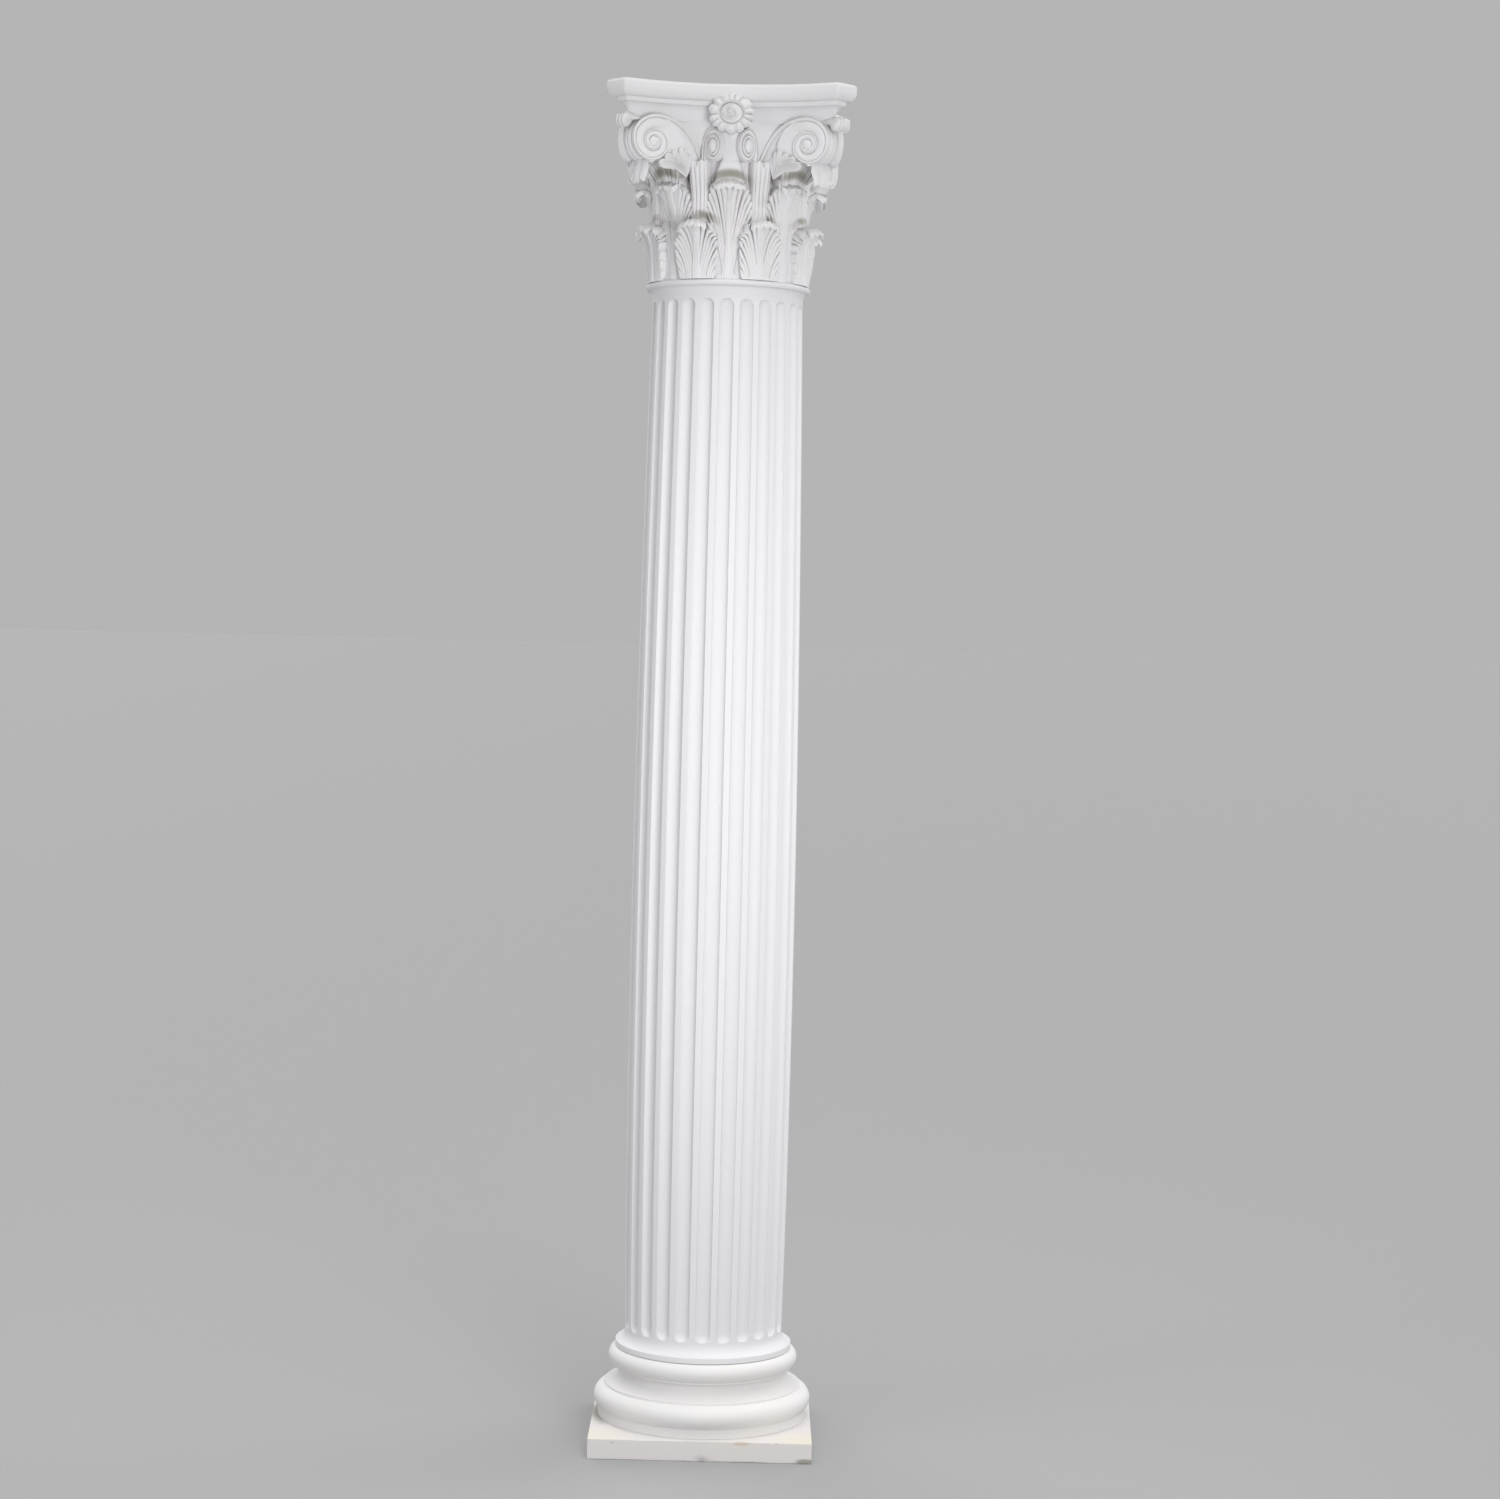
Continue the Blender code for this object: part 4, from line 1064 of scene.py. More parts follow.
def leaf_spine(leaf, place):
    """Radius, height and direction of a leaf's front line at places along it."""
    places, slopes = zip(*leaf.slopes)
    middles = (np.arange(SPINE_STEPS) + 0.5) / SPINE_STEPS
    slope = np.radians(np.interp(middles, places, slopes))
    radius = np.concatenate([[0], np.cumsum(np.sin(slope))])
    height = np.concatenate([[0], np.cumsum(np.cos(slope))])
    radius = leaf.foot_radius + radius * (leaf.reach - leaf.foot_radius) / radius.max()
    height = leaf.foot + height * (leaf.top - leaf.foot - leaf.thickness) / height.max()
    run = np.stack([np.gradient(radius), np.gradient(height)])
    run /= np.linalg.norm(run, axis=0)
    steps = np.linspace(0, 1, SPINE_STEPS + 1)
    return [np.interp(place, steps, line) for line in (radius, height, *run)]


def leaf_edge(leaf, lobe_share):
    """Side distance and place along the leaf of its edge, from its tip (0) to its foot (1)."""
    places, widths = zip(*leaf.outline)
    place = np.linspace(1.0, LOWEST_LOBE, EDGE_STEPS)
    side = np.concatenate([[0.0], leaf.width / 2 * np.interp(place, places, widths)])
    place = np.concatenate([[1.0], place])
    leaf_length = leaf.top - leaf.foot + leaf.reach - leaf.foot_radius
    walked = np.cumsum(np.hypot(np.diff(side), np.diff(place) * leaf_length))
    walked = np.concatenate([[0], walked / walked[-1]])
    lobe_share = lobe_share**LOBE_GROWTH
    return np.interp(lobe_share, walked, side), np.interp(lobe_share, walked, place)


def leaf_rings(leaf):
    """Flow lines of a carved leaf from its foot to its lobed edge, and back behind it."""
    hand = np.linspace(-1, 1, leaf.lobes * LOBE_STEPS + 1)[:, None]
    along = np.linspace(0, 1, LEAF_FRONT_POINTS)[None, :] ** POINT_CROWDING
    half = leaf.width / 2
    side_end, place_end = leaf_edge(leaf, np.abs(hand))
    side_foot = np.abs(hand) ** FOOT_GATHERING * half * leaf.outline[0][1] * FOOT_FLOW_SHARE

    lobe = np.abs(hand) * leaf.lobes / 2 + 0.5
    in_lobe = lobe - np.floor(lobe + 1e-9)
    leaning = np.where(lobe < 1 + 1e-9, in_lobe, np.clip(in_lobe, 0, 1) ** LOBE_LEAN)
    valley = 1 - lobes(leaning)
    tooth = 1 - lobes(TEETH * in_lobe, 0.8)
    from_group = np.mod(lobe - FIRST_GROUP + GROUP_LOBES / 2, GROUP_LOBES) - GROUP_LOBES / 2
    group = bump(from_group, 0, GROUP_NOTCH_WIDTH)
    on_side = ease(*SIDE_RANGE, np.abs(hand))
    lively = mixed(LEAST_LIVELY, 1.0, ease(*LIVELY_RANGE, place_end))

    def at_group(plain, added):
        return plain + added * group

    line_length = place_end * (leaf.top - leaf.foot) + 0.5 * np.abs(side_end - side_foot)
    depth = NOTCH_DEPTH * mixed(leaf.tip_notch, 1, on_side) * lively * at_group(*DEPTH_AT_GROUP)
    cut = (depth * valley + TOOTH_DEPTH * tooth) / np.maximum(line_length, SHORTEST_LINE)
    left = 1 - np.minimum(cut, DEEPEST_NOTCH)
    inward = NOTCH_INWARD * at_group(*INWARD_AT_GROUP) * lively * valley * on_side

    def spot(part):
        """Side distance and place along the leaf, a part of the way along each flow line."""
        side = mixed(side_foot, side_end, part**FLOW_BEND) - inward * ease(*INWARD_RANGE, part)
        return np.sign(hand) * side, place_end * part

    def surface(side, place, into):
        """Points of the leaf at a depth into it, with its sides set back and drooping."""
        radius, height, run_out, run_up = leaf_spine(leaf, place)
        into = into - leaf.cup * (side / half) ** 2 * between(*CUP_RANGES, place)
        droop = leaf.droop * (side / half) ** 2 * ease(*DROOP_RANGE, place)
        reach = radius - run_up * into - SIDE_SETBACK * np.abs(droop)
        return around(reach, FRONT + side / radius, height + run_out * into - droop)

    side, place = spot(along * left)
    spacing = np.abs(np.gradient(side, axis=0)) * LOBE_STEPS / FULL_RIB_SPACING
    rib = RIB_HEIGHT * np.clip(spacing, *RIB_LIMITS) * at_group(*RIB_AT_GROUP)
    beside = np.abs(side) / (leaf.width * (MIDRIB_HALF_WIDTH - MIDRIB_TAPER * place))
    off_midrib = np.maximum(ease(*BESIDE_MIDRIB, beside), ease(*PAST_MIDRIB, place))
    foot_part, tip_part = (ease(*limits, along) for limits in RIB_RANGES)
    deepening = RIB_FOOT_SHARE * foot_part + (1 - RIB_FOOT_SHARE) * tip_part
    relief = rib * (lobes(leaning, 0.7) - 1) * deepening * off_midrib
    relief -= FINE_RIB_HEIGHT * tooth * ease(*TEETH_RANGE, along) * off_midrib
    relief += LOBE_OVERLAP * (in_lobe - 0.5) * ease(*OVERLAP_RANGE, along) * on_side
    relief -= EYE_DEPTH * valley**3 * bump(along, EYE_PLACE, EYE_LENGTH) * on_side
    relief += MIDRIB_HEIGHT * (1 - ease(*MIDRIB_SIDE, beside)) * (1 - ease(*MIDRIB_END, place))
    groove = bump(beside, *MIDRIB_GROOVE) * (1 - ease(*GROOVE_END, place))
    relief -= MIDRIB_GROOVE_DEPTH * groove
    relief -= EDGE_ROUNDING * along**16
    front = surface(side, place, -relief)

    side, place = spot(np.linspace(0.97, 0.0, LEAF_BACK_POINTS)[None, :] * left)
    radius, height, _, _ = leaf_spine(leaf, place)
    rooted = radius - bell_radius(height) + LEAF_ROOTING
    tip = leaf.thickness * (1 - TIP_THINNING * ease(*TIP_RANGE, place))
    crest = CREST_RELIEF * (1 - lobes(leaning, 0.7)) * ease(*CREST_RANGE, place)
    free = np.clip((place - leaf.solid) / FREE_LENGTH, 0, 1)
    back = surface(side, place, mixed(np.maximum(rooted, tip), tip, free) - crest)
    return np.concatenate([front, back], axis=1)


def carved_leaves(row, sizes):
    """One row of leaves, with the top, reach and width that the panel sets."""
    count, first_angle, leaf = LEAF_ROWS[row]
    set_sizes = {size: getattr(sizes, f"{row}_leaf_{size}") for size in ("top", "reach", "width")}
    obj = rotated(skin(leaf_rings(leaf._replace(**set_sizes))), first_angle)
    return finish_piece(round_the_column(obj, count), f"{row}_leaves", "capital", 60)


# Stalks and the small leaves that spring from them

STALK_ROWS = 40
STALK_FRONT_POINTS = 51
STALK_FOOT = 0.085
STALK_TOP = 0.208
# Width and reach of a stalk at its foot and at its top
STALK_WIDTHS = (0.038, 0.048)
STALK_REACHES = (0.147, 0.158)
STALK_ROOTING = 0.004
STALK_RIBS = 5
STALK_RIB_HEIGHT = 0.0024
STALK_POINT_HEIGHT = 0.0055
STALK_NOTCH_DEPTH = 0.010
STALK_NOTCH_INWARD = 0.006
STALK_NOTCH_WIDTH = 0.06
# Where the stalk widens, its ribs and its points come in and its top splits, along it
STALK_WIDENING = (0.45, 1.0)
STALK_RIB_RANGE = (0.05, 0.3)
STALK_POINT_RANGE = (0.85, 1.0)
STALK_NOTCH_RANGE = (0.9, 1.0)


def stalk_rings():
    """Ribbed stalk that widens to a pointed and split top, rooted in the bell."""
    along = np.linspace(0, 1, STALK_ROWS + 1)[:, None]
    across = np.linspace(-1, 1, STALK_FRONT_POINTS)[None, :]
    widening = ease(*STALK_WIDENING, along)
    reach = mixed(*STALK_REACHES, widening)
    half_turn = mixed(*STALK_WIDTHS, widening) / 2 / reach
    height = mixed(STALK_FOOT, STALK_TOP, along)
    rooted = bell_radius(height) - STALK_ROOTING
    in_rib = STALK_RIBS * (across + 1) / 2
    rib = STALK_RIB_HEIGHT * (lobes(in_rib) - 1) * ease(*STALK_RIB_RANGE, along)
    notch = bump(across, 0, STALK_NOTCH_WIDTH) * ease(*STALK_NOTCH_RANGE, along)
    crown = (1 - np.abs(across) ** 5) ** 0.7
    radius = rooted + (reach - rooted + rib) * crown - STALK_NOTCH_INWARD * notch
    points = STALK_POINT_HEIGHT * (lobes(in_rib, 0.8) - 1) * ease(*STALK_POINT_RANGE, along)
    front = around(radius, FRONT + across * half_turn, height - STALK_NOTCH_DEPTH * notch + points)
    back_turn = FRONT + np.array([[0.6, -0.6]]) * half_turn
    return np.concatenate([front, around(rooted - STALK_ROOTING, back_turn, height)], axis=1)


class CarvedFace:
    """Upright plane that carries a scroll on the right half of the front side."""

    def __init__(self, out, depth, level, turn):
        self.centre = np.array((out, -depth, CAPITAL_LEVEL + level))
        self.run = np.array((math.cos(turn), -math.sin(turn), 0))
        self.front = np.array((-math.sin(turn), -math.cos(turn), 0))

    def points(self, across, up, rise):
        across, up, rise = np.broadcast_arrays(across, up, rise)
        place = self.centre + across[..., None] * self.run + rise[..., None] * self.front
        place[..., 2] += up
        return place


SCROLL_FACE = CarvedFace(0.135, 0.1794, 0.2329, math.radians(23))
HELIX_FACE = CarvedFace(0.030, 0.153, 0.231, math.radians(-32))

# Root, directions and lengths of the calyx leaf on the scroll's face, and how far it stands out
CALYX_ROOT = (-0.0700, -0.0560)
CALYX_ANGLES = np.radians((105, 84, 72, 56, 41, 26, 12))
CALYX_LENGTHS = (0.037, 0.046, 0.0550, 0.0540, 0.0600, 0.0660, 0.0660)
CALYX_RISES = (-0.012, 0.000, 0.0085, 0.0100, 0.0110, 0.0110, 0.006)
CALYX_ROOT_RISE = -0.016
CALYX_FRONT_POINTS = 25
CALYX_BACK_POINTS = 8
CALYX_LOBES = 6
CALYX_STEPS = 12
CALYX_TEETH = 4
# Depth of the notches and of the teeth, as shares of the leaf's length
CALYX_NOTCH = 0.17
CALYX_TOOTH = 0.05
CALYX_ARCH = 0.010
CALYX_ARCH_RANGE = (0.35, 1.0)
CALYX_RIB_RANGE = (0.2, 0.8)
CALYX_BENDING = 1.3
CALYX_SWELL = 0.0045
CALYX_EDGE_ROUNDING = 0.0025
CALYX_RIB_HEIGHT = 0.0026
CALYX_THICKNESS = 0.0045


def calyx_rings():
    """Small leaf that springs from the stalk's side and spreads under the scroll."""
    along = np.linspace(0, 1, CALYX_LOBES * CALYX_STEPS + 1)[:, None]
    angle = mixed(CALYX_ANGLES[0], CALYX_ANGLES[-1], along)
    phase = CALYX_LOBES * along
    notch = CALYX_NOTCH * (1 - lobes(phase)) + CALYX_TOOTH * (1 - lobes(CALYX_TEETH * phase, 0.8))
    reach = np.interp(-angle, -CALYX_ANGLES, CALYX_LENGTHS) * (1 - notch)
    end_rise = np.interp(-angle, -CALYX_ANGLES, CALYX_RISES)
    arch = CALYX_ARCH * ease(*CALYX_ARCH_RANGE, along)

    def surface(out, raised):
        """Points a part of the way out from the root, raised over the leaf's plain sheet."""
        across = CALYX_ROOT[0] + reach * out * np.cos(angle)
        up = CALYX_ROOT[1] + reach * out * np.sin(angle) + arch * np.sin(math.pi * out)
        rise = mixed(CALYX_ROOT_RISE, end_rise, out**CALYX_BENDING)
        return SCROLL_FACE.points(across, up, rise + raised)

    out = np.linspace(0, 1, CALYX_FRONT_POINTS)[None, :]
    ribs = CALYX_RIB_HEIGHT * (lobes(phase, 0.7) - 1) * ease(*CALYX_RIB_RANGE, out)
    swell = CALYX_SWELL * np.sin(math.pi * out) - CALYX_EDGE_ROUNDING * out**10
    back = surface(np.linspace(0.96, 0.04, CALYX_BACK_POINTS)[None, :], -CALYX_THICKNESS)
    return np.concatenate([surface(out, swell + ribs), back], axis=1)


def build_stalks():
    stalks = round_the_column(rotated(skin(stalk_rings()), math.pi / 8), 8)
    calyx = skin(calyx_rings())
    leaves = round_the_column(joined([calyx, mirrored(calyx)]), 4)
    return finish_piece(joined([stalks, leaves]), "stalks_and_calyx_leaves", "capital", 60)


# Scrolls

# Width and height of a scroll's arm from its top on: control points of its outer and inner edge
SCROLL_ARMS = (
    ((-0.032, 0.0505), (-0.073, 0.037), (-0.0985, -0.026)),
    ((-0.020, 0.0285), (-0.034, 0.006), (-0.026, -0.034)),
)
HELIX_ARMS = (
    ((0.014, 0.0330), (0.0245, 0.016), (0.0250, -0.026)),
    ((0.008, 0.0180), (0.0125, 0.006), (0.0120, -0.026)),
)
# Rows are the sections up the arm and round the turns, and arm_fall sets the arm's foot back
Scroll = namedtuple(
    "Scroll", "face narrowing spin turns shrink arm_fall arms rows radius", defaults=(None,)
)
CORNER_SCROLL = Scroll(SCROLL_FACE, 1.0, 1, 2.2, 0.46, 0.016, SCROLL_ARMS, (28, 110))
HELIX = Scroll(HELIX_FACE, 0.64, -1, 2.6, 0.66, 0.004, HELIX_ARMS, (24, 90))
# Share of the band from its outer edge to its inner one, and how far it stands out there
BAND_SHARES = (0, 0, 0.02, 0.07, 0.13, 0.18, 0.21, 0.245, 0.28, 0.33, 0.42, 0.55, 0.68, 0.80)
BAND_SHARES += (0.89, 0.945, 0.95)
BAND_RISES = (-0.0060, 0.0030, 0.0042, 0.0050, 0.0050, 0.0042, 0.0028, 0.0016, 0.0026, 0.0034)
BAND_RISES += (0.0038, 0.0039, 0.0037, 0.0031, 0.0020, 0.0004, -0.0060)
RIM_END = 0.28
# How far a scroll stands out more with each turn, and its arm's foot is rooted deeper
RISE_EACH_TURN = 0.0016
ARM_ROOTING = 0.010
EYE_POINTS = 24
EYE_ROWS = 8
EYE_WIDENING = 1.02
EYE_HEIGHT = 0.40
EYE_ROOTING = 0.004


def bezier(points, part):
    """Point of a cubic curve at each part of its way."""
    part = np.asarray(part)[..., None]
    rest = 1 - part
    weights = (rest**3, 3 * rest**2 * part, 3 * rest * part**2, part**3)
    return sum(weight * np.array(point) for weight, point in zip(weights, points))


def spiral(scroll, turns):
    """Points of a scroll's edge, clockwise from its top for a spin of 1."""
    radius = scroll.radius * scroll.shrink**turns
    angle = QUARTER - scroll.spin * 2 * math.pi * turns
    return np.stack([scroll.narrowing * radius * np.cos(angle), radius * np.sin(angle)], -1)


def scroll_rings(scroll):
    """Sections of a scroll's band: up its arm, then round and inwards to the eye."""
    arm_rows, turn_rows = scroll.rows
    back = np.linspace(1, 0, arm_rows)[:-1]
    turns = np.linspace(0, scroll.turns, turn_rows)
    outer, inner = (
        np.concatenate([bezier([spiral(scroll, lap), *arm], back), spiral(scroll, turns + lap)])
        for lap, arm in enumerate(scroll.arms)
    )
    width = np.linalg.norm(outer - inner, axis=1)
    full = width[arm_rows - 1]
    strength = np.clip(width / full, 0.2, 1) ** 0.7
    rim = np.minimum(width, full)
    proud = np.concatenate([-scroll.arm_fall * back**1.5, turns * RISE_EACH_TURN])
    root = np.concatenate([-ARM_ROOTING * back, 0 * turns])
    rings = []
    for part, rise in zip(BAND_SHARES, BAND_RISES):
        inside = max(part - RIM_END, 0) / (1 - RIM_END) * (width - RIM_END * rim)
        offset = (min(part, RIM_END) * rim + inside) / width
        line = mixed(outer, inner, offset[:, None])
        height = proud + (rise * strength if rise > 0 else rise + root)
        rings.append(scroll.face.points(*line.T, height))
    rings = np.stack(rings, axis=1)
    return rings[1:] if len(rings) % 2 == 0 else rings


def scroll_eye(scroll):
    """Button in the middle of a scroll, as rings from its foot to its crown."""
    turns = full_turn(EYE_POINTS)
    radius = scroll.radius * scroll.shrink**scroll.turns * EYE_WIDENING
    proud = scroll.turns * RISE_EACH_TURN
    steps = np.linspace(0, QUARTER * 0.92, EYE_ROWS)
    reach = radius * np.concatenate([[1], np.cos(steps)])[:, None]
    rise = np.concatenate([[-EYE_ROOTING], proud + radius * EYE_HEIGHT * np.sin(steps)])[:, None]
    return scroll.face.points(
        reach * scroll.narrowing * np.cos(turns), reach * np.sin(turns), rise
    )


def scroll_sides(scroll, *backing):
    """Band, eye and backing of a scroll with their mirror image, on all four sides."""
    side = joined([skin(scroll_rings(scroll)), skin(scroll_eye(scroll)), *backing])
    return round_the_column(joined([side, mirrored(side)]), 4)


# Outline of the scroll block behind its round part, in scroll radii from the eye
BLOCK_BACK = (
    (-0.80, -0.60),
    (-1.10, -0.70),
    (-1.25, -0.45),
    (-1.20, 0.15),
    (-0.95, 0.62),
    (-0.45, 0.98),
)
BLOCK_CENTRE = (-0.35, 0.0)
BLOCK_SWEEP = 0.62
BLOCK_ROUND_POINTS = 48
BLOCK_INSET = 0.0012
# Share of the way across the rim, and how far the rim is sunk there
RIM_SHARES = (0, 0.10, 0.14, 0.20, 0.28, 0.34, 0.40, 0.46, 0.50)
RIM_SINKING = (0, 0, 0.0022, 0.0034, 0.0030, 0.0010, 0.0002, 0.0006, 0.0018)


def scroll_block(scroll):
    """Block between the corner's two scroll faces, with channels along its rim."""
    round_part = spiral(scroll, np.linspace(0.0, BLOCK_SWEEP, BLOCK_ROUND_POINTS))
    outline = np.concatenate([round_part, np.array(BLOCK_BACK) * scroll.radius])
    inward = -outline / np.linalg.norm(outline, axis=1, keepdims=True)
    section = list(zip(RIM_SHARES, RIM_SINKING))
    section += [(1 - part, sunk) for part, sunk in section[-2::-1]]
    rings = []
    for part, sunk in section:
        near = scroll.face.points(*(outline + inward * (sunk + BLOCK_INSET)).T, 0.0)
        far = near[:, (1, 0, 2)] * (-1, -1, 1)
        rings.append(mixed(near, far, part))
    foot = scroll.face.points(*np.array(BLOCK_CENTRE) * scroll.radius, 0.0)
    return skin(rings, foot=foot, head=(-foot[1], -foot[0], foot[2]))


def build_corner_scrolls(sizes):
    scroll = CORNER_SCROLL._replace(radius=sizes.scroll_radius)
    blocks = round_the_column(scroll_block(scroll), 4)
    return finish_piece(joined([scroll_sides(scroll), blocks]), "corner_scrolls", "capital", 50)


HELIX_BODY_POINTS = 40
# Half width and half height of the body in scroll radii, and its middle
HELIX_BODY_SHARES = (0.56, 0.84)
HELIX_BODY_MIDDLE = (0.001, 0.003)
HELIX_BODY_RISES = (-0.030, -0.012, 0.0)


def build_helices(sizes):
    scroll = HELIX._replace(radius=sizes.helix_radius)
    turns = full_turn(HELIX_BODY_POINTS)
    outline = np.stack([np.cos(turns), np.sin(turns)], 1) * HELIX_BODY_SHARES * scroll.radius
    outline += HELIX_BODY_MIDDLE
    body = [scroll.face.points(*outline.T, rise) for rise in HELIX_BODY_RISES]
    return finish_piece(scroll_sides(scroll, skin(body)), "helices", "capital", 50)


# Rolled leaf tips on the corners, over the scrolls

CURL_ROWS = 36
CURL_POINTS = 48
# Distance from the axis and level of the roll's middle
CURL_CENTRE = (0.2665, 0.2690)
CURL_RADIUS = 0.0128
CURL_HALF_WIDTH = 0.0115
CURL_ROOT = 0.222
CURL_RIBS = 3
CURL_RIB_SHARE = 0.30
CURL_SHEAR = 0.002
# How much the roll narrows to its ends, and is taller and less thick at its front
CURL_NARROWING = 0.80
CURL_TALLNESS = 1.05
CURL_FLATTENING = 0.12
# Direction of the neck behind the roll, its width as an angle, its length and how it widens
NECK_TURN = 0.85 * math.pi
NECK_WIDTH = 0.34
NECK_LENGTH = 0.8 * (CURL_CENTRE[0] - CURL_ROOT)
NECK_WIDENING = 0.25


def curl_rings():
    """Rolled leaf tip that sits across the corner, ribbed lengthwise, with a neck behind it."""
    across = np.linspace(-1, 1, CURL_ROWS + 1)[:, None]
    turns = full_turn(CURL_POINTS)[None, :]
    rounded = (1 - CURL_NARROWING * np.abs(across) ** 4) ** 0.5
    rib = 1 - CURL_RIB_SHARE * (1 - lobes(CURL_RIBS * (across + 1) / 2, 0.6))
    neck = bump(turns, NECK_TURN, NECK_WIDTH)
    full = CURL_RADIUS * rounded * rib * (1 - CURL_FLATTENING * np.cos(turns - 0.3))
    out = CURL_CENTRE[0] + full * np.cos(turns) - NECK_LENGTH * neck
    level = CURL_CENTRE[1] + full * CURL_TALLNESS * np.sin(turns)
    side = CURL_HALF_WIDTH * across * (1 + NECK_WIDENING * neck) + CURL_SHEAR * np.sin(turns)
    return grid(side, -out, CAPITAL_LEVEL + level)


def build_corner_curls():
    curl = rotated(skin(curl_rings()), math.pi / 4)
    return finish_piece(round_the_column(curl, 4), "corner_curls", "capital", 60)


# Middle of each side: rosette, panel and drop

ROSETTE_SIDES = 112
ROSETTE_ROWS = 36
ROSETTE_LEVEL = 0.287
ROSETTE_FACE = 0.1725
ROSETTE_RIM = 0.004
ROSETTE_ROOT = 0.045
ROSETTE_BACK_SHARE = 0.94
ROSETTE_PETALS = 14
PETAL_HEIGHT = 0.0060
PETAL_NOTCH = 0.17
PETAL_RANGES = ((0.50, 0.64), (0.84, 1.02))
# Unevenness of the petals round the flower and of its edge: waves, amount and start
PETAL_WAVES = ((3, 0.09, 1.0), (5, 0.05, 0.0))
EDGE_WAVES = ((4, 0.04, 2.0),)
DOME_HEIGHT = 0.0040
# Groove round the button, as a share of the radius, and the winding ridge inside it
GROOVE_AT = 0.50
GROOVE_WIDTH = 0.035
GROOVE_DEPTH = 0.0026
RIDGE_START = 0.41
RIDGE_PITCH = 0.25
RIDGE_WIDTH = 0.056
RIDGE_HEIGHT = 0.0062
BUTTON_WIDTH = 0.12
BUTTON_HEIGHT = 0.0034


def wavy(value, turns, waves):
    """The value with waves round the flower added to it."""
    for count, amount, start in waves:
        value = value + amount * np.sin(count * turns + start)
    return value


def rosette_rings(sizes):
    """Rows from the back of the flower round its edge and in to the button."""
    turns = full_turn(ROSETTE_SIDES)[None, :]
    out = np.linspace(1, 0.03, ROSETTE_ROWS)[:, None]
    uneven = wavy(turns, turns, PETAL_WAVES)
    petal = lobes(ROSETTE_PETALS * uneven / (2 * math.pi), 0.6)
    notch = wavy(PETAL_NOTCH, turns, EDGE_WAVES) * (1 - petal)
    reach = out * (1 - notch * ease(0.5, 1.0, out))
    outer = between(*PETAL_RANGES, out)
    rise = PETAL_HEIGHT * outer * (0.25 + 0.75 * petal)
    rise = rise + DOME_HEIGHT * (1 - ease(0.3, 1.0, out))
    rise = rise - GROOVE_DEPTH * bump(out, GROOVE_AT, GROOVE_WIDTH)
    winding = np.mod(turns - QUARTER, 2 * math.pi) / (2 * math.pi)
    for lap in (0, 1):
        ridge_at = RIDGE_START - RIDGE_PITCH * (winding + lap)
        rise = rise + RIDGE_HEIGHT * bump(out, ridge_at, RIDGE_WIDTH) * (ridge_at > 0.02)
    rise = rise + BUTTON_HEIGHT * bump(out, 0, BUTTON_WIDTH)
    across = sizes.rosette_width / 2 * reach * np.cos(turns)
    up = sizes.rosette_height / 2 * reach * np.sin(turns)
    face = grid(across, -ROSETTE_FACE - rise, CAPITAL_LEVEL + ROSETTE_LEVEL + up)
    edge = face[:1] * (ROSETTE_BACK_SHARE, 1, 1)
    return np.concatenate([edge + (0, ROSETTE_ROOT, 0), edge + (0, ROSETTE_RIM, 0), face])


PANEL_ROWS = 50
PANEL_POINTS = 64
PANEL_THICKNESS = 0.040
# Levels over the capital's foot with the half width and the reach of the panel there
PANEL_LEVELS = (0.160, 0.184, 0.202, 0.208, 0.250, 0.262)
PANEL_HALF_WIDTHS = (0.0290, 0.0250, 0.0200, 0.0172, 0.0172, 0.0200)
PANEL_REACHES = (0.1480, 0.1495, 0.1530, 0.1510, 0.1530, 0.1560)
DROP_ROWS = 16
DROP_POINTS = 20
DROP_RADIUS = 0.0042
DROP_LENGTH = 0.020
DROP_REACH = 0.1525


def panel_rings():
    """Flat-fronted panel between the two inner scrolls of a side, flared at its foot."""
    heights = np.linspace(PANEL_LEVELS[0], PANEL_LEVELS[-1], PANEL_ROWS + 1)[:, None]
    turns = full_turn(PANEL_POINTS)[None, :]
    half = eased(heights, PANEL_LEVELS, PANEL_HALF_WIDTHS)
    reach = eased(heights, PANEL_LEVELS, PANEL_REACHES)
    across = half * np.sign(np.cos(turns)) * np.abs(np.cos(turns)) ** 0.3
    behind = (1 - np.sign(np.sin(turns)) * np.abs(np.sin(turns)) ** 0.6) / 2
    return grid(across, PANEL_THICKNESS * behind - reach, CAPITAL_LEVEL + heights)


def drop_rings():
    """Small pendant drop under the rosette."""
    turns = full_turn(DROP_POINTS)[None, :]
    along = np.linspace(0.02, 0.98, DROP_ROWS + 1)[:, None]
    radius = DROP_RADIUS * np.sin(math.pi * along**0.7)
    level = CAPITAL_LEVEL + PANEL_LEVELS[-1] - DROP_LENGTH * along
    return grid(radius * np.cos(turns), radius * np.sin(turns) - DROP_REACH, level)


def build_side_middles(sizes):
    rosettes = round_the_column(skin(rosette_rings(sizes)), 4)
    finish_piece(rosettes, "rosettes", "capital", 60)
    panels = joined([skin(panel_rings()), skin(drop_rings())])
    finish_piece(round_the_column(panels, 4), "side_panels", "capital", 50)


# Stage

LIGHT_AIM = (0, 0, 1.35)
LIGHT_PLACES = {
    "front_softbox": (1.0, -2.9, 1.45),
    "left_fill": (-3.2, -2.2, 1.6),
    "rear_left": (-2.6, 4.0, 3.6),
    "rear_right": (3.6, 2.6, 3.6),
    "overhead": (0.1, -0.7, 5.0),
}
SOFTBOX = {"shape": "RECTANGLE", "size": 1.2, "size_y": 1.4, "spread": math.radians(85)}
SUN = {"angle": math.radians(50)}
FULL_TOP_STRENGTH = 2
FLOOR_ROUGHNESS = 0.9


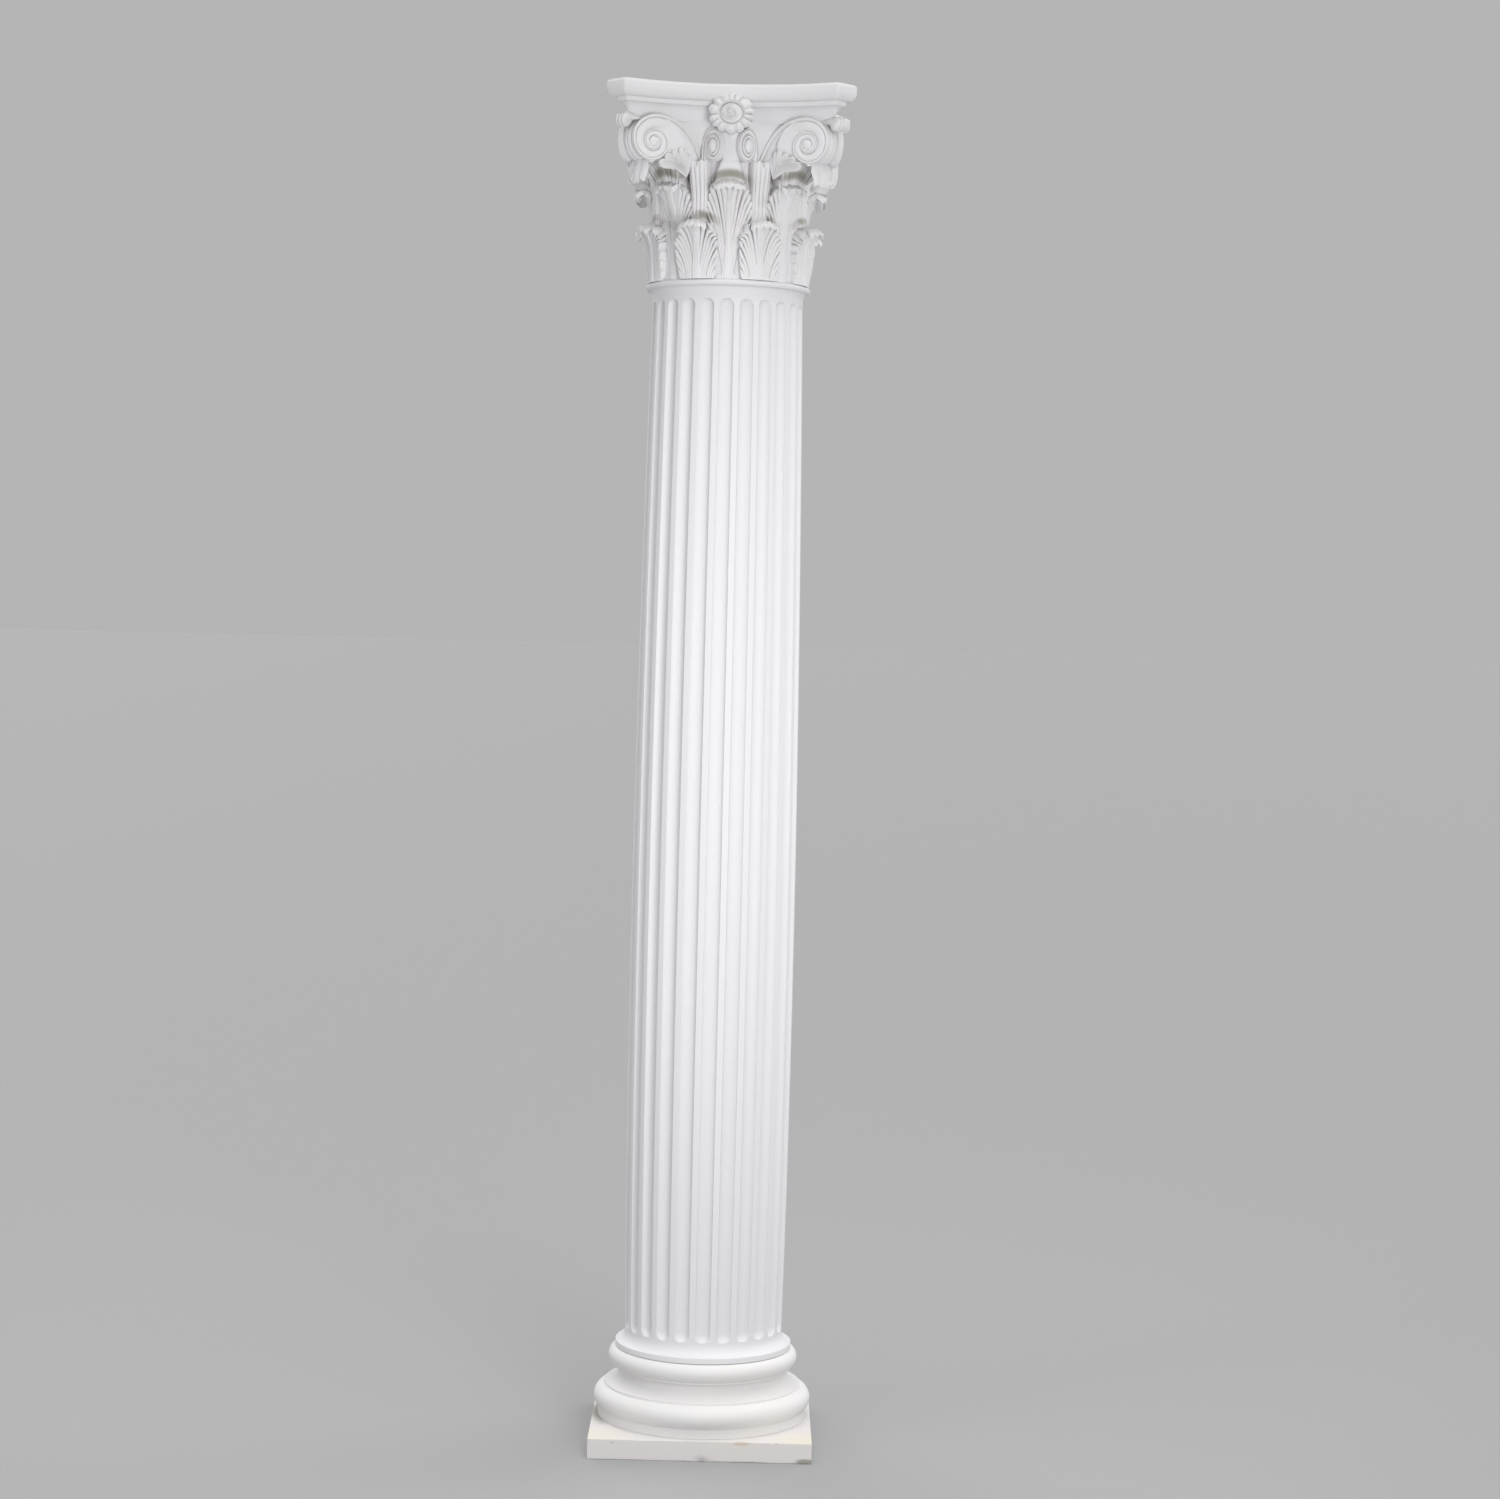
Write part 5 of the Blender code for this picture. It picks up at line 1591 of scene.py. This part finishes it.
def add_light(kind, name, energy, settings):
    """Light that shines from its place towards the middle of the column."""
    place = LIGHT_PLACES[name]
    direction = Vector(LIGHT_AIM) - Vector(place)
    bpy.ops.object.light_add(
        type=kind, location=place, rotation=direction.to_track_quat("-Z", "Y").to_euler()
    )
    light = bpy.context.object
    light.name = name
    light.data.name = name
    light.data.energy = energy
    for key, value in settings.items():
        setattr(light.data, key, value)


def build_stage(stage, finish):
    deselect_all()
    bpy.ops.mesh.primitive_plane_add(size=stage.floor_size, location=(0, 0, PLINTH_LOW.z))
    floor = bpy.context.object
    floor.name = "studio_floor"
    apply_place(floor)
    material = bpy.data.materials.new("studio_floor_paint")
    material.use_nodes = True
    shader = material.node_tree.nodes["Principled BSDF"]
    shader.inputs["Base Color"].default_value = finish.floor
    shader.inputs["Roughness"].default_value = FLOOR_ROUGHNESS
    floor.data.materials.append(material)

    world = bpy.context.scene.world or bpy.data.worlds.new("studio_surround")
    bpy.context.scene.world = world
    world.use_nodes = True
    surround = world.node_tree.nodes["Background"]
    surround.inputs["Color"].default_value = finish.surround
    surround.inputs["Strength"].default_value = 1.0

    add_light("AREA", "front_softbox", stage.key_power, SOFTBOX)
    add_light("AREA", "left_fill", stage.fill_power, SOFTBOX)
    add_light("SUN", "rear_left", stage.rear_strength, SUN)
    add_light("SUN", "rear_right", stage.rear_strength, SUN)
    add_light("SUN", "overhead", FULL_TOP_STRENGTH * stage.top_strength, SUN)

    place = (stage.camera_side, -stage.camera_distance, stage.camera_height)
    aim = (QUARTER + stage.camera_tilt, stage.camera_roll, 0)
    bpy.ops.object.camera_add(location=place, rotation=aim)
    camera = bpy.context.object
    camera.data.lens = stage.lens
    bpy.context.scene.camera = camera
    bpy.context.scene.view_settings.view_transform = "Standard"


# Operators and panel


class COLUMN_OT_plinth(Operator):
    """Model the square plinth with its worn edges and its chip"""

    bl_idname = "plaster_column.plinth"
    bl_label = "Plinth"

    def execute(self, context):
        build_plinth(context.scene.plaster_column.foot)
        return {"FINISHED"}


class COLUMN_OT_base(Operator):
    """Turn the two tori, the scotia and the fillets of the base"""

    bl_idname = "plaster_column.base"
    bl_label = "Turned base"

    def execute(self, context):
        settings = context.scene.plaster_column
        build_base(settings.foot, settings.shaft)
        return {"FINISHED"}


class COLUMN_OT_shaft(Operator):
    """Model the fluted shaft with its foot, swelling, cove and astragal"""

    bl_idname = "plaster_column.shaft"
    bl_label = "Fluted shaft"

    def execute(self, context):
        build_shaft(context.scene.plaster_column.shaft)
        return {"FINISHED"}


class COLUMN_OT_bell_and_abacus(Operator):
    """Model the bell of the capital and the hollow sided abacus on it"""

    bl_idname = "plaster_column.bell_and_abacus"
    bl_label = "Bell and abacus"

    def execute(self, context):
        sizes = context.scene.plaster_column.capital
        build_bell(sizes)
        build_abacus(sizes)
        return {"FINISHED"}


class COLUMN_OT_leaves(Operator):
    """Carve the lower, upper and corner leaves"""

    bl_idname = "plaster_column.leaves"
    bl_label = "Leaves"

    def execute(self, context):
        for row in LEAF_ROWS:
            carved_leaves(row, context.scene.plaster_column.capital)
        return {"FINISHED"}


class COLUMN_OT_scrolls(Operator):
    """Carve the stalks, the corner scrolls with their curls and the inner scrolls"""

    bl_idname = "plaster_column.scrolls"
    bl_label = "Stalks and scrolls"

    def execute(self, context):
        sizes = context.scene.plaster_column.capital
        build_stalks()
        build_corner_scrolls(sizes)
        build_corner_curls()
        build_helices(sizes)
        return {"FINISHED"}


class COLUMN_OT_side_middles(Operator):
    """Carve the rosette, panel and drop on the middle of each side"""

    bl_idname = "plaster_column.side_middles"
    bl_label = "Rosettes and panels"

    def execute(self, context):
        build_side_middles(context.scene.plaster_column.capital)
        return {"FINISHED"}


class COLUMN_OT_stage(Operator):
    """Set up the plain floor, the soft lights and the camera"""

    bl_idname = "plaster_column.stage"
    bl_label = "Studio"

    def execute(self, context):
        settings = context.scene.plaster_column
        build_stage(settings.stage, settings.finish)
        return {"FINISHED"}


OPERATORS = (
    COLUMN_OT_plinth,
    COLUMN_OT_base,
    COLUMN_OT_shaft,
    COLUMN_OT_bell_and_abacus,
    COLUMN_OT_leaves,
    COLUMN_OT_scrolls,
    COLUMN_OT_side_middles,
    COLUMN_OT_stage,
)


class COLUMN_PT_panel(Panel):
    """Lists the pieces of the column in the order in which they are made"""

    bl_idname = "COLUMN_PT_panel"
    bl_label = "Corinthian column"
    bl_space_type = "VIEW_3D"
    bl_region_type = "UI"
    bl_category = "Column"

    def draw(self, context):
        for operator in OPERATORS:
            self.layout.operator(operator.bl_idname)


CLASSES = (
    FootSizes,
    ShaftSizes,
    CapitalSizes,
    FinishColours,
    StageSizes,
    ColumnSettings,
    *OPERATORS,
    COLUMN_PT_panel,
)


def register():
    for each in CLASSES:
        bpy.utils.register_class(each)
    bpy.types.Scene.plaster_column = PointerProperty(type=ColumnSettings)


def unregister():
    del bpy.types.Scene.plaster_column
    for each in reversed(CLASSES):
        bpy.utils.unregister_class(each)


def main():
    register()
    for operator in OPERATORS:
        group, action = operator.bl_idname.split(".")
        getattr(getattr(bpy.ops, group), action)()
    deselect_all()


if __name__ == "__main__":
    main()
